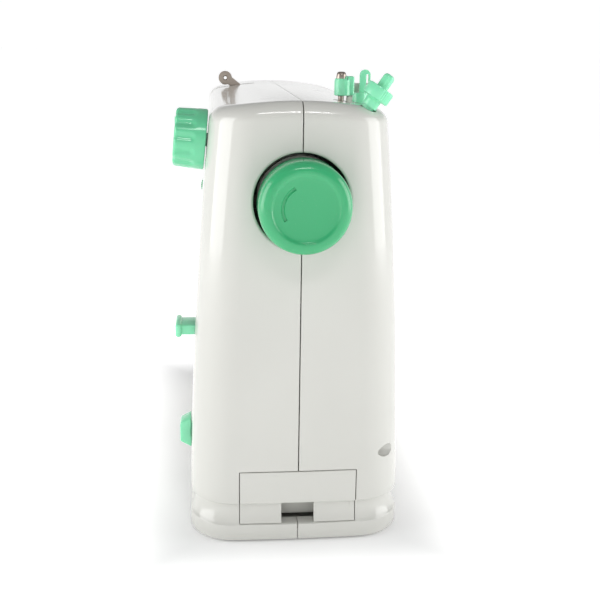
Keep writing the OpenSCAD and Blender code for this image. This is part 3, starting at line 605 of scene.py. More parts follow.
def cove_levels():
    """(height, inset) pairs from the table edge to the lower edge of the main case."""
    levels = [(foot_gap, 0.7), (foot_gap + 0.25, 0.25), (foot_gap + 0.8, 0)]
    lip = 0.4
    levels += [(skirt_h * 0.5, 0), (skirt_h - 0.7, 0), (skirt_h - 0.25, 0.12), (skirt_h, lip)]
    deep = cove_top - cove_step
    for u in (k / 8 for k in range(1, 9)):
        levels.append((skirt_h + u * (deep - skirt_h), lip + (cove_depth - lip) * (1 - (1 - u) ** 2)))
    return levels + [(cove_top - 1.3, cove_depth), (cove_top - 0.8, 0.6), (cove_top - 0.3, 0.12),
                     (cove_top + 0.3, 0)]


def case_levels(steps=60):
    """(height, inset, tilt) from the table to the top; tilt is how far the skin has turned up."""
    levels = [(z, inset, 0.0) for z, inset in cove_levels()]
    foot, top = levels[-1][0], shoulder - top_round
    levels += [(foot + (top - foot) * k / steps, 0, 0.0) for k in range(1, steps + 1)]
    for k in range(1, 13):
        a = math.radians(90 * k / 12)
        levels.append((shoulder - top_round * (1 - math.sin(a)), top_round * (1 - math.cos(a)), a))
    return levels


def case_ring(side, z, inset, tilt, grow=0.0, start=seam_gap, fine=True):
    """Half a ring of the case on one side of the seam: -1 is the front and 1 the rear."""
    h = case_half(z) - inset - grow
    r = min(corner_r, h - 8)
    soft = [start + seam_round * q for q in (0, 0.12, 0.33, 0.62, 1)] if fine else [start]
    flats = 9 if fine else 5
    ys = soft + [soft[-1] + (h - r - soft[-1]) * k / flats for k in range(1, flats + 1)]
    ys += [h - r + r * math.sin(math.radians(90 * k / 18)) for k in range(1, 19)]
    crown = top_crown * max(0, (z - shoulder + 30) / 30)
    right, left = [], []
    for y in ys:
        eased = fall_back(seam_round - (y - start), seam_round) if fine else 0
        up = z + crown * (1 - (y / h) ** 2) - eased * math.sin(tilt)
        back = inset + grow + eased * math.cos(tilt)
        right.append((body_len - end_lean * z / body_top - back - fall_back(y - h + r, r)
                      - end_bow * (y / h) ** 2, side * y, up))
        left.append((back + fall_back(y - h + r * left_share, r * left_share), side * y, up))
    return right + left[::-1]


def case_body(name, side, grow=0.0, start=seam_gap, fine=True):
    """One half of the case as a closed body, grow millimetres inside its skin."""
    levels = case_levels() if fine else case_levels(20)
    if grow:
        levels = [(z - grow if z > shoulder - top_round else z, i, a) for z, i, a in levels]
        levels[0] = (-2, levels[0][1], 0)
    rings = [case_ring(side, z, i, a, grow, start, fine) for z, i, a in levels]
    points, faces = wrap(rings)
    n = len(rings[0])
    for base in (0, len(points) - n):
        faces += [(base + k, base + k + 1, base + n - 2 - k, base + n - 1 - k)
                  for k in range(n // 2 - 1)]
    return new_piece(name, points, faces)


# %% [markdown]
# ## Cutters with soft lips
# A moulded opening never has a knife edge. Each cutter flares outward as it reaches the skin, so
# the cut leaves a small round lip. For pockets the flare follows the face they are cut in. For
# the throat, which runs through the whole body, the flare depends on how deep under the skin
# each point lies.

# %% Pockets
def flare(depth, r):
    """How far a cutter has opened, depth millimetres under the skin, for a lip of radius r."""
    if depth >= r:
        return 0.0
    return r - math.sqrt(max(0.0, r * r - (r - max(depth, 0.0)) ** 2))


def inset_at(z):
    heights, insets, _ = zip(*case_levels())
    return float(np.interp(z, heights, insets))


def on_end(y, z, depth):
    x = body_len - end_lean * z / body_top - end_bow * (y / case_half(z)) ** 2
    return x - inset_at(z) - depth, y, z


def on_left(y, z, depth):
    return depth, y, z


def on_front(x, z, depth):
    return x, -case_half(z) + depth, z


def on_rear(x, z, depth):
    return x, case_half(z) - depth, z


def on_top(x, y, depth):
    h = case_half(shoulder) - top_round
    return x, y, shoulder + top_crown * (1 - (y / h) ** 2) - depth


def hole(u, v, r, steps=48):
    return lambda g: [(u + (r + g) * math.cos(2 * math.pi * k / steps),
                       v + (r + g) * math.sin(2 * math.pi * k / steps)) for k in range(steps)]


def window(u0, u1, v0, v1, r=0.6):
    """A rectangle with round corners, which grows by g all round."""
    corners = ((u1 - r, v1 - r), (u0 + r, v1 - r), (u0 + r, v0 + r), (u1 - r, v0 + r))

    def outline(g):
        turned = []
        for quarter, (cu, cv) in enumerate(corners):
            for k in range(5):
                a = math.radians(90 * quarter + 22.5 * k)
                turned.append((cu + (r + g) * math.cos(a), cv + (r + g) * math.sin(a)))
        return turned
    return outline


def lip_rows(reach, lip, steps):
    """(depth, flare) from outside the skin, round the lip and straight in."""
    turns = [math.radians(90 * k / steps) for k in range(1, steps + 1)]
    lip_turn = [(lip * (1 - math.cos(a)), lip * (1 - math.sin(a))) for a in turns]
    return [(-4, lip), (0.01, lip)] + lip_turn + [(reach, 0)]


def pocket(face, outline, reach, lip=0.5):
    """A cutter that goes reach millimetres in from a face of the case."""
    return loft("cutter", [[face(u, v, depth) for u, v in outline(g)]
                           for depth, g in lip_rows(reach, lip, 5)])


# %% Throat cutter
def skin_depth(x, y, z):
    """Depth under the front, rear and head-end faces, round the upright corners too."""
    h = case_half(z)
    r = corner_r * left_share
    a = abs(y) - (h - r)
    b = r - x
    if a > 0 and b > 0:
        return r - math.hypot(a, b)
    return min(h - abs(y), x)


def bend(cx, cz, r, first, last, inward=False, steps=8):
    """Points (x, z, nx, nz) of a round corner, with the direction into the material."""
    sign = -1 if inward else 1
    found = []
    for k in range(steps + 1):
        a = math.radians(first + (last - first) * k / steps)
        found.append((cx + r * math.cos(a), cz + r * math.sin(a),
                      sign * math.cos(a), sign * math.sin(a)))
    return found


def throat_cutter(lip, grow=0.0):
    near = [-20, -3, -1, 0, 0.25, 0.7, 1.3, 2.0, 3.0, 6.0, 16.0]
    far = [45, 90, 135]
    head_r = 4
    route = [(x, bed_top, 0, -1) for x in near + far]
    route += bend(column_x - throat_r, bed_top + throat_r, throat_r, -90, 0)
    route += bend(column_x - throat_r, arm_z - throat_r, throat_r, 0, 90)
    route += bend(head_len + throat_r, arm_z - throat_r, throat_r, 90, 180)
    route += bend(head_len - head_r, head_z + head_r, head_r, 0, -90, inward=True)
    route += [(x, head_z, 0, 1) for x in [45] + near[::-1]]
    depths = [-2, 0, 0.2, 0.5, 1.0, 1.6, 2.3, 3.0, 6.0, 14.0]
    rings = []
    for side, row in [(-1, d) for d in depths] + [(1, d) for d in depths[::-1]]:
        ring = []
        for x, z, nx, nz in route:
            y = side * (case_half(z) - row)
            g = grow + (flare(skin_depth(x, y, z), lip) if lip else 0)
            ring.append((x + nx * g, y, z + nz * g))
        rings.append(ring)
    outer = [[(x, side * 95, z) for x, _, z in rings[0 if side < 0 else -1]] for side in (-1, 1)]
    return loft("throat_cutter", [outer[0]] + rings + [outer[1]])


# %% [markdown]
# ## The slot for the take-up lever
# The thread lever swings in a slot that starts high on the front face and runs over the rounded
# edge onto the top. A straight cutter would leave uneven lips on the curve, so this one is swept
# along the skin: a flared section that is laid square to the surface at every step.

# %% Swept slot
def skin_profile(low, y_end):
    """(y, z, ny, nz) along the front face, over the rounded edge and back to y_end on top."""
    found = []
    top = shoulder - top_round
    for k in range(9):
        z = low + (top - low) * k / 8
        found.append((-case_half(z), z, -1, 0))
    for k in range(1, 10):
        a = math.radians(10 * k)
        z = shoulder - top_round * (1 - math.sin(a))
        h = case_half(z) - top_round * (1 - math.cos(a))
        found.append((-h, z, -math.cos(a), math.sin(a)))
    h = case_half(shoulder) - top_round
    for k in range(1, 7):
        y = -h + (h + y_end) * k / 6
        found.append((y, shoulder + top_crown * (1 - (y / h) ** 2), 2 * top_crown * y / h ** 2, 1))
    return found


def swept_slot(x0, x1, path, reach, lip=0.5):
    rows = lip_rows(reach, lip, 4)
    rings = []
    for y, z, ny, nz in path:
        size = math.hypot(ny, nz)
        ny, nz = ny / size, nz / size
        left = [(x0 - g, y - ny * d, z - nz * d) for d, g in rows]
        right = [(x1 + g, y - ny * d, z - nz * d) for d, g in rows[::-1]]
        rings.append(left + right)
    return loft("slot_cutter", rings)


# %% Places of the openings
take_up = node_box("take_up_lever")
tension = node_box("tension_dial")
dial_z = 240
lever_z = 126
switch_z = 57
recess_r = (node_box("handwheel")[1].z - node_box("handwheel")[0].z) / 2 + 1.8
drawer = node_box("accessory_drawer")
drawer_half = drawer[1].y
drawer_top = drawer[1].z
drawer_gap = 0.4
ledge_w = 9
cover = node_box("hook_cover")
cover_gap = 0.5
cover_foot = 16.3
plate_low, plate_high = node_box("needle_plate")
plate_t = 1.5
needle_x = node_box("presser_spring")[0].x + 5
presser_y = 13
lifter_z = 158
socket_x = column_x + 40
socket_heights = (78, 96)
wx, wy = [sum(c[i] for c in node_box("winder_tyre")) / 2 for i in (0, 1)]
screws = [(60, 150), (20, 215), (column_x + 31, 112), (body_len - 34, 175), (66, 55), (160, 55)]
corner_x, corner_z = body_len - 8, 56
spool_tilt = math.radians(34)
spool_at = Vector((body_len - 17, 42.9, body_top + 4))
spool_up = Vector((0, math.sin(spool_tilt), math.cos(spool_tilt)))
print("drawer", round(drawer_half, 1), round(drawer_top, 1), "winder", round(wx, 1), round(wy, 1))


# %% [markdown]
# ## The two halves
# Each half starts as a full body. The hollow is taken out first, less the walls round the throat,
# and then every opening in turn. Posts for the screws are joined before their wells are sunk. The
# cutters are made once for each half, because carving uses them up.

# %% Carve the halves
def plate_seat():
    """The needle plate's shallow seat and the opening under it."""
    gap = Vector((0.2, 0.2, 0))
    rim = Vector((3, 3, 0))
    seat = [(plate_low - gap, plate_high + gap, bed_top - plate_t, bed_top + 4),
            (plate_low + rim, plate_high - rim, bed_top - 6, bed_top)]
    return [block((low.x, low.y, z0), (high.x, high.y, z1)) for low, high, z0, z1 in seat]


def head_openings():
    """Under the head: the two bars and the lamp."""
    low, high = head_z - 2, head_z + 6
    bars = [bar((needle_x, y, low), (needle_x, y, high), r) for y, r in ((0, 4.5), (presser_y, 4.2))]
    return bars + [block((needle_x + 16, -18, low), (needle_x + 42, 6, high))]


def front_openings():
    slot_x = take_up[0].x - 2
    tension_slot = window(tension[0].x - 1, tension[1].x + 1,
                          tension[0].z + 0.5, tension[1].z - 0.5, 1.5)
    lever_slot = window(control_x - 10.5, control_x + 10.5, lever_z - 8, lever_z + 6.5, 1.2)
    switch_slot = window(control_x - 9, control_x + 9, switch_z - 3, switch_z + 3, 1.0)
    return [
        swept_slot(slot_x, slot_x + 7, skin_profile(212, -16), 7, 0.6),
        pocket(on_front, tension_slot, 16, 0.7),
        pocket(on_front, hole(control_x, dial_z, 5), 12, 0.3),
        pocket(on_front, lever_slot, 12, 0.6),
        pocket(on_front, switch_slot, 12, 0.4),
    ]


def rear_openings():
    cuts = [
        pocket(on_top, window(wx - 5, wx + 5, wy - 5, wy + 8.6, 4.5), 10, 0.6),
        pocket(on_rear, hole(needle_x, lifter_z, 5), 12, 0.5),
    ]
    cuts += [pocket(on_rear, hole(socket_x, z, 4.6), 12, 0.5) for z in socket_heights]
    cuts.append(lathe("well", (corner_x, 45.5, corner_z), (0, 1, 0), [(3.4, 0), (4, 1), (4, 40)], 48))
    return cuts + [pocket(on_rear, hole(x, z, 4), 10, 0.6) for x, z in screws]


def openings(side):
    drawer_hole = window(-drawer_half - drawer_gap, drawer_half + drawer_gap,
                         skirt_h, drawer_top + drawer_gap)
    cover_hole = window(-cover[1].y - cover_gap, cover[1].y + cover_gap,
                        cover_foot, cover[1].z + cover_gap, 1.5)
    cuts = [
        throat_cutter(3.0),
        pocket(on_end, hole(0, shaft_z, recess_r, 96), 12, 1.4),
        pocket(on_end, drawer_hole, 13, 0.3),
        pocket(on_left, cover_hole, 12, 0.5),
        *plate_seat(),
        *head_openings(),
        bar(spool_at - spool_up * 40, spool_at + spool_up * 5, 5),
    ]
    return cuts + (front_openings() if side < 0 else rear_openings())


def rear_posts():
    """Posts behind the screws, and the solid pad and long post of the corner screw."""
    posts = [bar((x, case_half(z) - 12, z), (x, case_half(z) - 1.5, z), 5.5) for x, z in screws]
    pad = case_body("pad", 1, wall - 0.3, 30, fine=False)
    room = block((corner_x - 8, 38, corner_z - 7), (body_len, 90, corner_z + 7))
    posts.append(carve(pad, room, operation="INTERSECT"))
    posts.append(bar((corner_x, 1, corner_z), (corner_x, 40, corner_z), 5))
    return posts


def case_moulding(name, side):
    hollow = case_body("hollow", side, wall, -1.0, fine=False)
    ledge = block((body_len - ledge_w, -drawer_half - 3, skirt_h - wall),
                  (body_len + 4, drawer_half + 3, skirt_h))
    carve(hollow, throat_cutter(0, wall), ledge)
    skin = carve(case_body(name, side), hollow)
    if side > 0:
        join(skin, *rear_posts())
    return carve(skin, *openings(side))


dress(case_moulding("case_front", -1), "case_white", "case", "front_shell")
dress(case_moulding("case_rear", 1), "case_white", "case", "rear_shell")


# %% [markdown]
# ## Accessory drawer
# The drawer's front continues the end face, cove and all, so it is laid out with the same face
# formula as the case and only its edges are softened. Behind it are the notch for a fingertip, the
# wall that closes the tray and the open tray itself.

# %% Drawer front
def stations(low, high, soft, between):
    """(place, how far it falls back) from low to high, with a soft edge at both ends."""
    ends = [(soft * q, soft - math.sqrt(soft ** 2 - (soft - soft * q) ** 2))
            for q in (0, 0.1, 0.3, 0.6, 1.0)]
    lower = [(low + d, f) for d, f in ends]
    upper = [(high - d, f) for d, f in ends[::-1]]
    return lower + [(place, 0) for place in between] + upper


def even_stations(low, high, soft, count):
    step = (high - low - 2 * soft) / count
    return stations(low, high, soft, [low + soft + step * k for k in range(1, count)])


def face_panel(name, face, half_width, v_stations, thickness, soft=0.45):
    """A panel that lies in a face of the case, thickness millimetres through."""
    us = even_stations(-half_width, half_width, soft, 24)
    rows = []
    for v, fall_v in v_stations:
        front = [face(u, v, max(fall_u, fall_v)) for u, fall_u in us]
        back = [face(u, v, thickness) for u, _ in us[::-1]]
        rows.append(front + back)
    return loft(name, rows)


def drawer_heights(low, high, soft=0.45):
    inside = [z for z, _ in cove_levels() if low + soft < z < high - soft]
    inside += [cove_top + 0.3 + 4 * k for k in range(1, 20) if cove_top + 4 * k < high - 1.5]
    return stations(low, high, soft, inside)


front_wall = 3.2
drawer_front = face_panel("drawer_front", on_end, drawer_half,
                          drawer_heights(skirt_h + 0.35, drawer_top), front_wall)
notch = rounded_box("notch", (body_len - 20, -10, skirt_h - 3),
                    (body_len + 6, 10, skirt_h + 14.3), 0.5)
dress(carve(drawer_front, notch), "case_white", "drawer", "accessory_drawer")

# %% Drawer tray
tray_half = drawer_half - 1.2
tray_wall = 1.8
tray = rounded_box("drawer_tray", (drawer[0].x, -tray_half, skirt_h + 0.8),
                   (body_len - 9, tray_half, drawer_top - 4), 1.6)
tray_room = rounded_box("tray_room", (drawer[0].x + tray_wall, -tray_half + tray_wall, skirt_h + 2.6),
                        (body_len - 18, tray_half - tray_wall, drawer_top + 8), 2.2)
under_notch = block((body_len - 12.4, -tray_half + tray_wall, skirt_h - 2),
                    (body_len - 2, tray_half - tray_wall, skirt_h + 3.4))
finger_room = rounded_box("finger_room", (body_len - 12.5, -11.5, skirt_h - 2),
                          (body_len + 2, 11.5, skirt_h + 18), 0.8)
carve(tray, tray_room, finger_room, under_notch)
for side in (-1, 1):
    cheek_y = side * (tray_half - 1)
    join(tray, block((body_len - 12, cheek_y - 1, skirt_h + 3),
                     (body_len - 3.4, cheek_y + 1, drawer_top - 4.2)))
join(tray, block((body_len - 11, -tray_half + 1, drawer_top - 7),
                 (body_len - 3.6, tray_half - 1, drawer_top - 4.4)))
dress(tray, "case_white", "drawer")

# %% [markdown]
# ## Hook cover
# The flap at the head end hinges along its foot and has a shallow thumb recess at its top edge. It
# lies in the left face, so it is another panel, with a hinge barrel joined on inside.

# %% Hook cover
flap_rows = even_stations(cover[0].z + 2.2, cover[1].z, 0.5, 14)
hook_cover = face_panel("hook_flap", on_left, cover[1].y, flap_rows, 2.9, 0.5)
hinge_x, hinge_z = 3, 20
barrel = bar((hinge_x, -cover[1].y, hinge_z), (hinge_x, cover[1].y, hinge_z), 2)
thumb = lathe("thumb", (-5.5, 0, cover[1].z - 1), (1, 0, 0),
              [(9, 0), (8.8, 4.5), (7.6, 6.4), (5, 7.2), (0, 7.4)], 48)
join(hook_cover, barrel)
carve(hook_cover, thumb)
dress(hook_cover, "case_white", "hook_cover", "hook_cover")

# %% [markdown]
# ## Handwheel
# A turned moulding: a deep rim that thins at the back where it enters the recess, a full round
# shoulder, and a dished face with one curved groove for a fingertip. The profile is written once
# and turned on the lathe. The groove is a bent bar sunk halfway into the face.

# %% Handwheel
wheel_r = recess_r - 1.8
wheel_back = body_len - 6
wheel_face = node_box("handwheel")[1].x - wheel_back
shoulder_r = 6
rim_mid = wheel_r - shoulder_r
back_of_wheel = [(0, -8), (8.5, -8), (9, -7.5), (9, 17.4), (9.6, 18), (21, 18), (21.6, 17.4),
                 (21.6, 0.5), (22, 0), (23.6, 0), (24.1, 0.5), (24.1, 5.6), (24.3, 6.3), (25.4, 7.7)]
rim = [(wheel_r, 8.4), (wheel_r, 12), (wheel_r, 16)]
rim += [(rim_mid + shoulder_r * math.cos(a), wheel_face - shoulder_r + shoulder_r * math.sin(a))
        for a in np.radians(np.linspace(0, 88, 14))]
dish = [(19.1, 0.06), (18.7, 0.25), (18.3, 0.6), (17.8, 0.95), (17.2, 1.15), (15, 1.35), (11, 1.6),
        (6, 1.75), (0, 1.8)]
wheel_profile = back_of_wheel + rim + [(r, wheel_face - sunk) for r, sunk in dish]
handwheel = lathe("handwheel_turned", (wheel_back, 0, shaft_z), (1, 0, 0), wheel_profile, 144)
groove_r = 12.6
groove_x = wheel_back + wheel_face - 1.3
groove_path = [(groove_x, -groove_r * math.sin(a), shaft_z + groove_r * math.cos(a))
               for a in np.radians(np.linspace(28, 120, 25))]
carve(handwheel, tube("groove", groove_path, 1.05, 20))
dress(handwheel, "mint_plastic", "handwheel", "handwheel", smooth_to=30)

# %% [markdown]
# ## Stitch dial
# The dial stands square to the leaning front face. It tapers slightly, and thirteen scallops give
# the fingers a hold over the outer part of its length. The lathe takes the scallops as a change of
# radius by angle, which fades out towards the smooth collar.

# %% Stitch dial
face_lean = math.atan((case_half(dial_z - 1) - case_half(dial_z + 1)) / 2)
dial_out = Vector((0, -math.cos(face_lean), math.sin(face_lean)))
dial_r = 17.7
dial_len = 19
dial_taper = 0.9
end_round = 1.9
scallops = 13


def scalloped(turn, radius, high):
    hold = min(1.0, max(0.0, (high - 6.5) / 2.5))
    wave = 0.5 + 0.5 * math.cos(turn * scallops)
    return radius - 1.05 * hold * wave ** 1.6 * min(1.0, radius / 12)


def dial_radius(high):
    return dial_r - dial_taper * (high / dial_len) ** 1.4


dial_profile = [(0, 0.6), (dial_r - 1.2, 0.6), (dial_r - 0.5, 0.75), (dial_r - 0.1, 1.2)]
dial_profile += [(dial_radius(h), h) for h in np.linspace(1.8, dial_len - end_round, 22)]
end_r = dial_radius(dial_len - end_round)
dial_profile += [(end_r - end_round * (1 - math.cos(a)), dial_len - end_round * (1 - math.sin(a)))
                 for a in np.radians([15, 30, 45, 60, 75, 90])]
dial_profile += [(end_r - 3.2, dial_len), (end_r - 3.8, dial_len - 0.25), (end_r - 4.4, dial_len - 0.45),
                 (6, dial_len - 0.7), (0, dial_len - 0.75)]
dial_foot = Vector((control_x, -case_half(dial_z), dial_z))
stitch_dial = lathe("stitch_dial", dial_foot, dial_out, dial_profile, 260, scalloped)
dial_face_up = Vector((0, math.sin(face_lean), math.cos(face_lean)))
pointer_at = dial_foot + dial_out * (dial_len - 0.45) + dial_face_up * 8
pointer_path = [pointer_at + Vector((0, 0, rise)) for rise in (-4.0, 3.4)]
pointer = tube("pointer", pointer_path, 0.9, 20)
spindle = bar(dial_foot - dial_out * 36, dial_foot + dial_out * 0.8, 4)
join(stitch_dial, ease(pointer, 0.4), spindle)
dress(stitch_dial, "mint_plastic", "stitch_dial", "pattern_dial", finish=mint_painted_lighter, smooth_to=34)

# %% [markdown]
# ## Reverse lever and speed switch
# Both are small mouldings that a fingertip works. The lever is a bar with a flanged end, turning on
# a pin behind the face. The switch is a wedge with a flat thumb face and three grip ridges.

# %% Reverse lever
lever_face = -node_box("reverse_lever")[0].y
press_face = lever_face - 1.2
pin_y = 15.5 - half_base
lever = rounded_box("reverse_bar", (control_x - 9, -press_face + 1, lever_z - 3.0),
                    (control_x + 9, pin_y, lever_z + 3.0), 0.7)
flange = rounded_box("flange", (control_x - 11, -press_face, lever_z - 4.1),
                     (control_x + 11, -press_face + 3.6, lever_z + 4.1), 1.4)
knuckles = [bar((x, pin_y, lever_z), (x + 5, pin_y, lever_z), 4.5)
            for x in (control_x - 9, control_x + 4)]
join(lever, flange, *knuckles)
pin_hole = bar((control_x - 12, pin_y, lever_z), (control_x + 12, pin_y, lever_z), 2.05)
spring_gap = block((control_x - 4, pin_y - 6, lever_z - 6), (control_x + 4, pin_y + 6, lever_z + 6))
hollow_path = [(control_x + x, -press_face - 3.3, lever_z) for x in (-8, 8)]
carve(lever, pin_hole, spring_gap, tube("hollow", hollow_path, 3.9, 40))
dress(lever, "mint_plastic", "reverse_lever", "reverse_lever", finish=mint_painted_lightest)

# %% Speed switch
switch_face = case_half(switch_z) + 0.3
switch_out = 7
wedge = [(0, -10), (0, 10), (-switch_out + 0.4, 6.5), (-switch_out, 5.2), (-switch_out, -6)]
switch = plate("speed_slider", [(y - switch_face, switch_z + z) for y, z in wedge],
               control_x - 6, control_x + 6, along_x)
ease(switch, 0.8, 4)
ridge_y = -switch_face - switch_out
ridges = [tube("ridge", [(control_x + s, ridge_y, switch_z + z) for z in (-4, 3.6)], 0.45, 16)
          for s in (-3, 0, 3)]
tongue = block((control_x - 4, -switch_face - 0.5, switch_z - 2.5),
               (control_x + 4, -switch_face + 6, switch_z + 2.5))
join(switch, tongue)
carve(switch, *ridges)
dress(switch, "mint_plastic", "speed_switch", "speed_switch", finish=mint_painted_lightest)

# %% [markdown]
# ## Take-up lever
# A stamped steel lever with a round eye for the thread. It is drawn as a smooth band that follows
# the lever's centre line, widened to a disc round the eye, and then its stamped edges are eased.

# %% Take-up lever
pivot = Vector((-6, 228))
way = [pivot + Vector(step) for step in ((0, 0), (-8, 15), (-17, 28), (-25.5, 35.5), (-32.5, 40.2))]
arm_x, arm_t = take_up[0].x, 2.4


def smooth_way(points, steps=10):
    """A smooth curve through the points."""
    found = []
    for i in range(len(points) - 1):
        p0, p1 = points[max(i - 1, 0)], points[i]
        p2, p3 = points[i + 1], points[min(i + 2, len(points) - 1)]
        for k in range(steps):
            t = k / steps
            found.append(0.5 * (2 * p1 + (p2 - p0) * t + (2 * p0 - 5 * p1 + 4 * p2 - p3) * t * t
                                + (3 * p1 - p0 - 3 * p2 + p3) * t ** 3))
    return found + [points[-1]]


curve = smooth_way(way)
band_left, band_right = [], []
for k, p in enumerate(curve):
    along = (curve[min(k + 1, len(curve) - 1)] - curve[max(k - 1, 0)]).normalized()
    side = Vector((-along.y, along.x)) * (2.6 + 0.9 * (k / len(curve)) ** 3)
    band_left.append(p + side)
    band_right.append(p - side)
band = band_left + band_right[::-1]
take_up_lever = plate("take_up_arm", [tuple(p) for p in band], arm_x, arm_x + arm_t, along_x)
eye = bar((arm_x, *way[-1]), (arm_x + arm_t, *way[-1]), 5.2, 64)
hub = bar((arm_x, *pivot), (arm_x + arm_t, *pivot), 6)
stud = bar((arm_x + 0.5, *pivot), (arm_x + 13, *pivot), 3)
join(take_up_lever, eye, hub)
eye_hole = lathe("eye_hole", (arm_x - 1, *way[-1]), (1, 0, 0),
                 [(2.6, 0), (1.9, 1), (1.4, 1.5), (1.2, 2.2), (1.4, 2.9), (1.9, 3.4), (2.6, 4.4)], 48)
carve(take_up_lever, eye_hole)
ease(take_up_lever, 0.45, 3, 50)
join(take_up_lever, stud)
dress(take_up_lever, "steel", "take_up", "take_up_lever", finish=dark_steel, smooth_to=40)

# %% [markdown]
# ## Tension dial
# Only the front edge of this wheel stands out of its slot. Its rim is knurled with fine notches so
# that a thumb can roll it, and its two edges are rounded.

# %% Tension dial
tension_y, tension_z = [sum(c[i] for c in tension) / 2 for i in (1, 2)]
tension_r = (tension[1].z - tension[0].z) / 2 - 1.5
tension_profile = [(2.55, 0), (6, 0), (6.4, 0.5), (11.2, 0.5), (11.6, 0), (tension_r - 1, 0),
                   (tension_r - 0.3, 0.3), (tension_r, 1), (tension_r, 3), (tension_r, 5),
                   (tension_r - 0.3, 5.7), (tension_r - 1, 6), (11.6, 6), (11.2, 5.5), (6.4, 5.5),
                   (6, 6), (2.55, 6)]
tension_wheel = turned_ring("tension_wheel", (tension[0].x, tension_y, tension_z), (1, 0, 0),
                            tension_profile, 288, grip(48, 0.35, tension_r - 1.2, 2))
dress(tension_wheel, "mint_plastic", "tension_dial", "tension_dial")

# %% [markdown]
# ## Bobbin winder
# A bobbin is pushed over the mint sleeve, whose split leaf grips it, and the steel tip of the
# spindle shows above. A pale post beside it pushes the carriage across. The stopper is a round
# stud that a full bobbin runs against.

# %% Winder spindle and carriage
winder_at = Vector((wx, wy, body_top))
z_axis = (0, 0, 1)
sleeve = lathe("winder_sleeve", winder_at, z_axis,
               [(0, 1.4), (4.4, 1.4), (4.75, 1.75), (4.8, 3), (4.8, 9.6), (4.6, 10.6), (4.1, 11),
                (0, 11)], 64)
leaf_outline = [(wx - 3.2, wy + 1), (wx + 3.2, wy + 1), (wx + 3.0, wy + 6.6), (wx - 3.0, wy + 6.6)]
leaf = ease(plate("leaf", leaf_outline, body_top + 1.6, body_top + 12.4, along_z), 1.3, 5)
slit = block(winder_at + Vector((-6, 2.1, 10.2)), winder_at + Vector((6, 2.5, 14)))
join(sleeve, leaf)
carve(sleeve, slit)
dress(sleeve, "mint_plastic", "winder_spindle", "winder_spindle", finish=mint_painted_lightest)
spindle_pin = lathe("winder_pin", winder_at - Vector((0, 0.8, 0)), z_axis,
                    [(0, -12.5), (1.6, -12.5), (1.65, -12), (1.65, 1), (3.1, 1.5), (3.1, 11),
                     (2.75, 13.2), (2.4, 14.2), (1.7, 14.7), (0.8, 14.8), (0, 14.8)], 48)
dress(spindle_pin, "steel", "winder_spindle", finish=dark_steel)
lower_pin = lathe("winder_stub", winder_at, z_axis,
                  [(0, -29), (2.4, -29), (2.4, -22), (5, -22), (5, -18.4), (3, -18.4), (3, -12.6),
                   (2.4, -12.4), (0, -12.4)], 48)
dress(lower_pin, "steel", "winder_spindle")
carriage = rounded_box("winder_carriage_block", winder_at - Vector((7, 6, 18)),
                       winder_at + Vector((7, 6, -13)), 0.8)
carve(carriage, bar(winder_at - Vector((0, 0, 25)), winder_at - Vector((0, 0, 5)), 3.05))
post = rounded_box("winder_post", winder_at + Vector((-2, 2.6, -15)),
                   winder_at + Vector((2, 5.2, 1)), 0.5)
join(carriage, post)
dress(carriage, "inner_plastic", "winder_carriage", "winder_carriage")

# %% Winder stopper
stop_low, stop_high = node_box("winder_stopper")
stop_mid = (stop_low + stop_high) / 2
stop_r = (stop_high.x - stop_low.x) / 2
stop_h = stop_high.z - stop_low.z
stopper = lathe("winder_stop_stud", (stop_mid.x, stop_mid.y, stop_low.z), z_axis,
                [(0, 0), (stop_r, 0), (stop_r, stop_h - 1.2), (stop_r - 0.3, stop_h - 0.4),
                 (stop_r - 1.1, stop_h), (0.8, stop_h), (0.5, stop_h - 0.4), (0, stop_h - 0.4)], 64)
dress(stopper, "mint_plastic", "case", "winder_stopper", finish=mint_painted_lightest)

# %% [markdown]
# ## Thread guides and spool pin
# The upright mint loop has a narrow slot for the thread. A bent steel guide stands beside it.
# Behind them a spool pin slides up through its tilted collar.

# %% Thread guides
loop_low, loop_high = node_box("thread_guide")
loop_y = (loop_low.y + loop_high.y) / 2
loop_half = (loop_high.y - loop_low.y) / 2 - 0.5
arch_z = loop_high.z - loop_half
loop_outline = [(loop_y - loop_half, loop_low.z), (loop_y + loop_half, loop_low.z)]
loop_outline += [(loop_y + loop_half * math.cos(a), arch_z + loop_half * math.sin(a))
                 for a in np.linspace(0, math.pi, 25)]
thread_loop = plate("thread_loop", loop_outline, loop_low.x, loop_high.x, along_x)
carve(thread_loop, block((loop_low.x - 1, loop_y + 0.7, body_top + 3.5),
                         (loop_high.x + 1, loop_y + 2.1, arch_z + 0.4)))
ease(thread_loop, 0.55, 4, 50)
dress(thread_loop, "mint_plastic", "case", "thread_guide", finish=mint_painted_lightest)
guide_low, guide_high = node_box("guide_plate")
guide_y = 34
bent = [(0, -11), (7, -11), (7, 1), (16, 1), (16, 3.8), (24, 3.8), (24, 6), (16.5, 6.4), (15, 7),
        (1, 7), (0, 6)]
guide = plate("thread_bracket", [(guide_y + y, body_top + z) for y, z in bent],
              guide_low.x, guide_high.x, along_x)
carve(guide, bar((guide_low.x - 1, guide_y + 20, body_top + 4.9),
                 (guide_high.x + 1, guide_y + 20, body_top + 4.9), 0.6, 24))
ease(guide, 0.3, 3, 30)
dress(guide, "polished_steel", "case", "guide_plate")

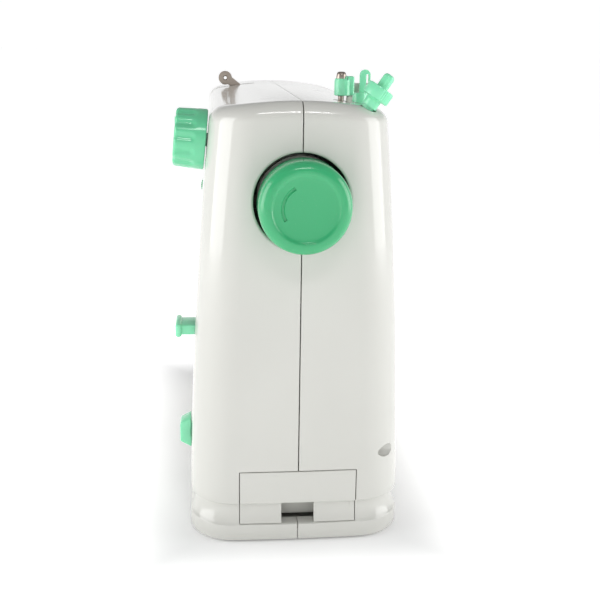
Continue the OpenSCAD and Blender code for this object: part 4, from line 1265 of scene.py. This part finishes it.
# %% Spool pin and collar
collar_profile = [(3.46, -9), (4.1, -9), (4.4, -8.6), (4.4, -3.9), (4.8, -3.5), (7.2, -3.5),
                  (7.7, -3.2), (7.9, -2.6), (7.9, 2.6), (7.7, 3.2), (7.2, 3.5), (4.6, 3.5), (4.0, 3.0),
                  (3.46, 3.0)]
spool_collar = turned_ring("spool_collar", spool_at, spool_up, collar_profile, 216,
                           grip(36, 0.28, 7.5, lower_half=True))
dress(spool_collar, "mint_plastic", "case", "spool_base", finish=mint_painted_lightest)
pin_profile = [(0, -34), (3.0, -34), (3.4, -33.5), (3.4, 9.6), (3.3, 10.4), (2.9, 11.2), (2.2, 11.75),
               (1.2, 12), (0, 12)]
spool_stem = lathe("spool_stem", spool_at, spool_up, pin_profile, 96, grip(8, 0.16, 3.2))
head_at = spool_at + spool_up * 13
head_axis = basis(spool_up)[2]
carve(spool_stem, tube("head_slit", [head_at - head_axis * 5, head_at + head_axis * 5], 1.6, 4))
dress(spool_stem, "mint_plastic", "spool_pin", "spool_pin", finish=mint_painted_lightest)

# %% [markdown]
# ## The working end
# Under the head hang the needle bar and the presser bar. The foot is bent from steel and polished,
# with a sole that turns up at the toe. The plate has its stitch-width lines, and the feed dog its
# rows of teeth, all cut as real shapes, because they catch the lamp's light.

# %% Presser foot
foot_z = node_box("presser_foot")[0].z
foot_screw_z = foot_z + 15
sole = [(-14, 1.6), (-13.2, 0.7), (-11.5, 0.15), (-10, 0), (12, 0), (12, 1.6), (11.5, 2.2),
        (-9.5, 2.2), (-11.5, 2.2), (-13.6, 2.2)]
presser_foot = plate("presser_sole", [(y, foot_z + z) for y, z in sole],
                     needle_x - 9, needle_x + 9, along_x)
ankle = rounded_box("ankle", (needle_x - 4, 5, foot_z + 1.6), (needle_x + 4, 12, foot_z + 9.5), 0.6)
shank = rounded_box("shank", (needle_x - 5, presser_y - 5, foot_z + 8),
                    (needle_x + 5, presser_y + 5, foot_z + 22), 1.0)
join(presser_foot, ankle, shank)
carve(presser_foot, bar((needle_x, presser_y, foot_z + 9), (needle_x, presser_y, foot_z + 23), 3.02),
      rounded_box("needle_gap", (needle_x - 4, -2, foot_z - 2), (needle_x + 4, 2, foot_z + 4), 0.8),
      block((needle_x - 2, -15, foot_z - 1), (needle_x + 2, -1.5, foot_z + 3)),
      bar((needle_x - 6, presser_y, foot_screw_z), (needle_x - 2.5, presser_y, foot_screw_z), 1.5))
dress(ease(presser_foot, 0.25, 2, 50), "polished_steel", "presser", "presser_foot")

# %% Foot screw, needle clamp and its screw
def thumb_screw(name, start, axis, stem_r, stem_len, head_r, head_len):
    """A screw along x with a knurled head and a slot across it."""
    start, axis = Vector(start), Vector(axis)
    tip_len = stem_len + head_len
    profile = [(0, 0), (stem_r, 0), (stem_r, stem_len), (head_r - 0.4, stem_len), (head_r, stem_len + 0.4)]
    profile += [(head_r, stem_len + head_len * q) for q in (0.3, 0.5, 0.7)]
    profile += [(head_r, tip_len - 0.5), (head_r - 0.6, tip_len), (0, tip_len)]
    screw = lathe(name, start, axis, profile, 144, grip(24, 0.22, head_r - 0.1))
    tip = start + axis * tip_len
    slot_half = Vector((0.9, 0.4, head_r + 1))
    return carve(screw, block(tip - slot_half, tip + slot_half))


foot_screw = thumb_screw("foot_screw_knurled", (needle_x - 3, presser_y, foot_screw_z), (-1, 0, 0),
                         1.5, 2, 4, 7)
dress(foot_screw, "steel", "presser", "foot_screw")
clamp_z = node_box("needle_bar")[0].z
clamp_profile = [(1.0, -10), (3.6, -10), (4.6, -9.2), (5, -8.4), (5, 2.2), (4.6, 3), (3.05, 3),
                 (3.05, 0), (1.0, 0)]
clamp = turned_ring("needle_clamp_turned", (needle_x, 0, clamp_z), z_axis, clamp_profile, 72)
dress(clamp, "polished_steel", "needle_bar", "needle_clamp")
clamp_screw = thumb_screw("clamp_screw_knurled", (needle_x + 1.2, 0, clamp_z - 5), (1, 0, 0),
                          1.5, 4.8, 3.2, 6)
dress(clamp_screw, "steel", "needle_bar", "clamp_screw")

# %% Needle
tip_z = 89
needle = lathe("sewing_needle", (needle_x, 0, 0), z_axis,
               [(0, tip_z), (0.12, tip_z + 0.2), (0.42, tip_z + 3), (0.46, tip_z + 4),
                (0.46, clamp_z - 21), (0.95, clamp_z - 19.5), (1.0, clamp_z - 19),
                (0.98, clamp_z - 0.2), (0, clamp_z)], 32)
carve(needle, bar((needle_x, -3, tip_z + 5), (needle_x, 3, tip_z + 5), 0.2, 12))
dress(needle, "polished_steel", "needle_bar", "needle")

# %% Needle plate
needle_plate = rounded_box("stitch_plate", (plate_low.x, -plate_high.y, bed_top - plate_t),
                           (plate_high.x, plate_high.y, bed_top), 0.25, 2)
needle_hole = rounded_box("needle_hole", (needle_x - 1.2, -1, bed_top - 4),
                          (needle_x + 1.2, 1, bed_top + 2), 0.5)
slots = [block((x, -17.5, bed_top - 3), (x + 4, 17.5, bed_top + 1))
         for x in (needle_x - 7, needle_x + 3)]
mark_w, mark_depth = 0.35, 0.12
marks = [block((x, y, bed_top - mark_depth), (x + mark_w, 14, bed_top + 1))
         for x, y in zip((needle_x + 12 + 5 * k for k in range(4)), (-26, -22, -26, -22))]
carve(needle_plate, needle_hole, *slots)
carve(needle_plate, *marks)
dress(needle_plate, "polished_steel", "case", "needle_plate")
head_x = plate_high.x - 8
head_profile = [(0, -2.4), (1.6, -2.4), (1.6, -0.1), (2.9, 0), (3.0, 0.2), (2.6, 0.6), (1.4, 0.8),
                (0, 0.82)]
for name, y, nodes in (("plate_screw_front", -22, ["plate_screws"]), ("plate_screw_rear", 22, [])):
    head = lathe(name, (head_x, y, bed_top), z_axis, head_profile, 48)
    carve(head, block((head_x - 4, y - 0.35, bed_top + 0.25), (head_x + 4, y + 0.35, bed_top + 2)))
    dress(head, "steel", "case", *nodes)

# %% Feed dog
dog_top = node_box("feed_dog")[1].z
row_half, row_w, row_x = 13, 3, (needle_x - 6.5, needle_x + 3.5)
tooth_count, tooth_depth = 18, 0.8
saw = [(-row_half, bed_top - 4.2), (row_half, bed_top - 4.2), (row_half, dog_top - tooth_depth)]
for k in range(1, tooth_count + 1):
    y = row_half - 2 * row_half * k / tooth_count
    saw += [(y + 0.35, dog_top), (y, dog_top - tooth_depth)]
teeth = [plate("tooth_row", saw, x, x + row_w, along_x) for x in row_x]
feed_dog = block((needle_x + 16, -row_half, bed_top - 6),
                 (needle_x + 34, row_half, bed_top - 4.1), "feed_dog_teeth")
rails = [block((row_x[0], y, bed_top - 4.4), (needle_x + 34, y + 4, bed_top - 3)) for y in (-15, 11)]
join(feed_dog, *rails)
join(feed_dog, *teeth)
dress(feed_dog, "polished_steel", "feed", "feed_dog", smooth_to=20)

# %% [markdown]
# ## Feet
# Four rubber buttons carry the machine. Each has a rounded sole and a thin neck that is pushed
# through the base.

# %% Feet
feet_low, feet_high = node_box("rubber_feet")
foot_r = 8
button = [(0, 0.15), (5, 0.15), (5.4, 0), (7.2, 0), (7.8, 0.3), (foot_r, 0.8), (foot_r, 1.6),
          (7.7, 1.8), (3, 1.8), (3, 4.6), (2.6, 5.5), (0, 5.5)]
feet_at = [(x, y) for x in (feet_low.x + foot_r, feet_high.x - foot_r)
           for y in (feet_low.y + foot_r, feet_high.y - foot_r)]
for number, (x, y) in enumerate(feet_at, 1):
    rubber = lathe(f"rubber_foot_{number}", (x, y, 0), z_axis, button, 64)
    dress(rubber, "rubber", "case", *(["rubber_feet"] if number == 1 else []))

# %% [markdown]
# ## Presser lifter
# The handle at the back of the head: a flat lever that hangs from its shaft and ends in a
# thumb-shaped paddle. The shaft and its two cam arms inside the head are part of the piece.

# %% Presser lifter
lift_y0, lift_y1 = half_base - 4.3, node_box("presser_lifter")[1].y
top_turn = np.linspace(-math.pi / 2, math.pi / 2, 17)
end_turn = np.linspace(0.3, math.pi - 0.3, 10)
paddle = [(5 * math.sin(a), 5 * math.cos(a)) for a in top_turn]
paddle += [(4.4, -14), (4.6, -24), (5, -30)]
paddle += [(5 * math.cos(a), -30 - 4 * math.sin(a)) for a in end_turn]
paddle += [(-5, -30), (-4.6, -24), (-4.4, -14)]
lifter = plate("lifter_handle", [(needle_x + x, lifter_z + z) for x, z in paddle],
               lift_y0, lift_y1, along_y)
ease(lifter, 0.9, 4, 50)
cam_y, cam_t = 21, 3
shaft = bar((needle_x, cam_y, lifter_z), (needle_x, lift_y0 + 0.6, lifter_z), 4)
cam = [block((needle_x, cam_y, lifter_z - 2), (needle_x + 14.6, cam_y + cam_t, lifter_z + 2)),
       block((needle_x - 2, cam_y, lifter_z), (needle_x + 2, cam_y + cam_t, lifter_z + 9.4))]
join(lifter, shaft, *cam)
dress(lifter, "inner_plastic", "lifter", "presser_lifter")

# %% [markdown]
# ## Springs
# In the frame a spring is a plain sleeve. Here each is a real coil of wire. The presser spring is
# squeezed as the foot lifts, but its coil here is wound evenly and rides with the case.

# %% Springs
def coil(name, origin, axis, radius, wire, length, turns, per_turn=28):
    axis, up, side = basis(axis)
    path = []
    for u in (k / (turns * per_turn) for k in range(turns * per_turn + 1)):
        a = 2 * math.pi * turns * u
        rise = wire + (length - 2 * wire) * u
        path.append(Vector(origin) + axis * rise + (up * math.cos(a) + side * math.sin(a)) * radius)
    return tube(name, path, wire, 10)


spring_low, spring_high = node_box("presser_spring")
spring_len = spring_high.z - spring_low.z
presser_spring = coil("presser_coil", (needle_x, presser_y, spring_low.z), z_axis, 4.15, 0.5,
                      spring_len, 13)
dress(presser_spring, "steel", "case", "presser_spring")
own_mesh(presser_spring)
lever_coil = coil("lever_coil", (control_x - 3.6, pin_y, lever_z), (1, 0, 0), 2.9, 0.5, 7.2, 5)
dress(lever_coil, "steel", "case", "lever_spring")

# %% [markdown]
# ## The train inside
# Shafts, pulleys, belts, bushes and the cast frame keep the shapes that the frame gives them,
# because their fits are what matters. Each takes the finish of its slot, and on all but four of
# them a small bevel breaks the edges that a file or a mould would have broken.

# %% Finishes for the frame's own nodes
slot_of = {part["node"]: part["material_slot"] for part in frame["record"]["subparts"]}
broken_edge = {"cast_frame": 0.5, "bronze": 0.15, "inner_plastic": 0.3}
left_sharp = ("main_shaft", "needle_bar", "winder_tyre", "case_screws")
for node, thing in frame["nodes"].items():
    thing.data.materials.clear()
    thing.data.materials.append(finishes[slot_of[node]])
    if node in left_sharp or thing.hide_render:
        continue
    flat = thing.modifiers.new("join_flats", "DECIMATE")
    flat.decimate_type = "DISSOLVE"
    flat.angle_limit = math.radians(1)
    edge = thing.modifiers.new("broken_edges", "BEVEL")
    edge.width = broken_edge.get(slot_of[node], 0.2) * MM
    edge.segments = 2
    edge.limit_method = "ANGLE"
    edge.angle_limit = math.radians(50)
print("frame nodes dressed:", len(frame["nodes"]))
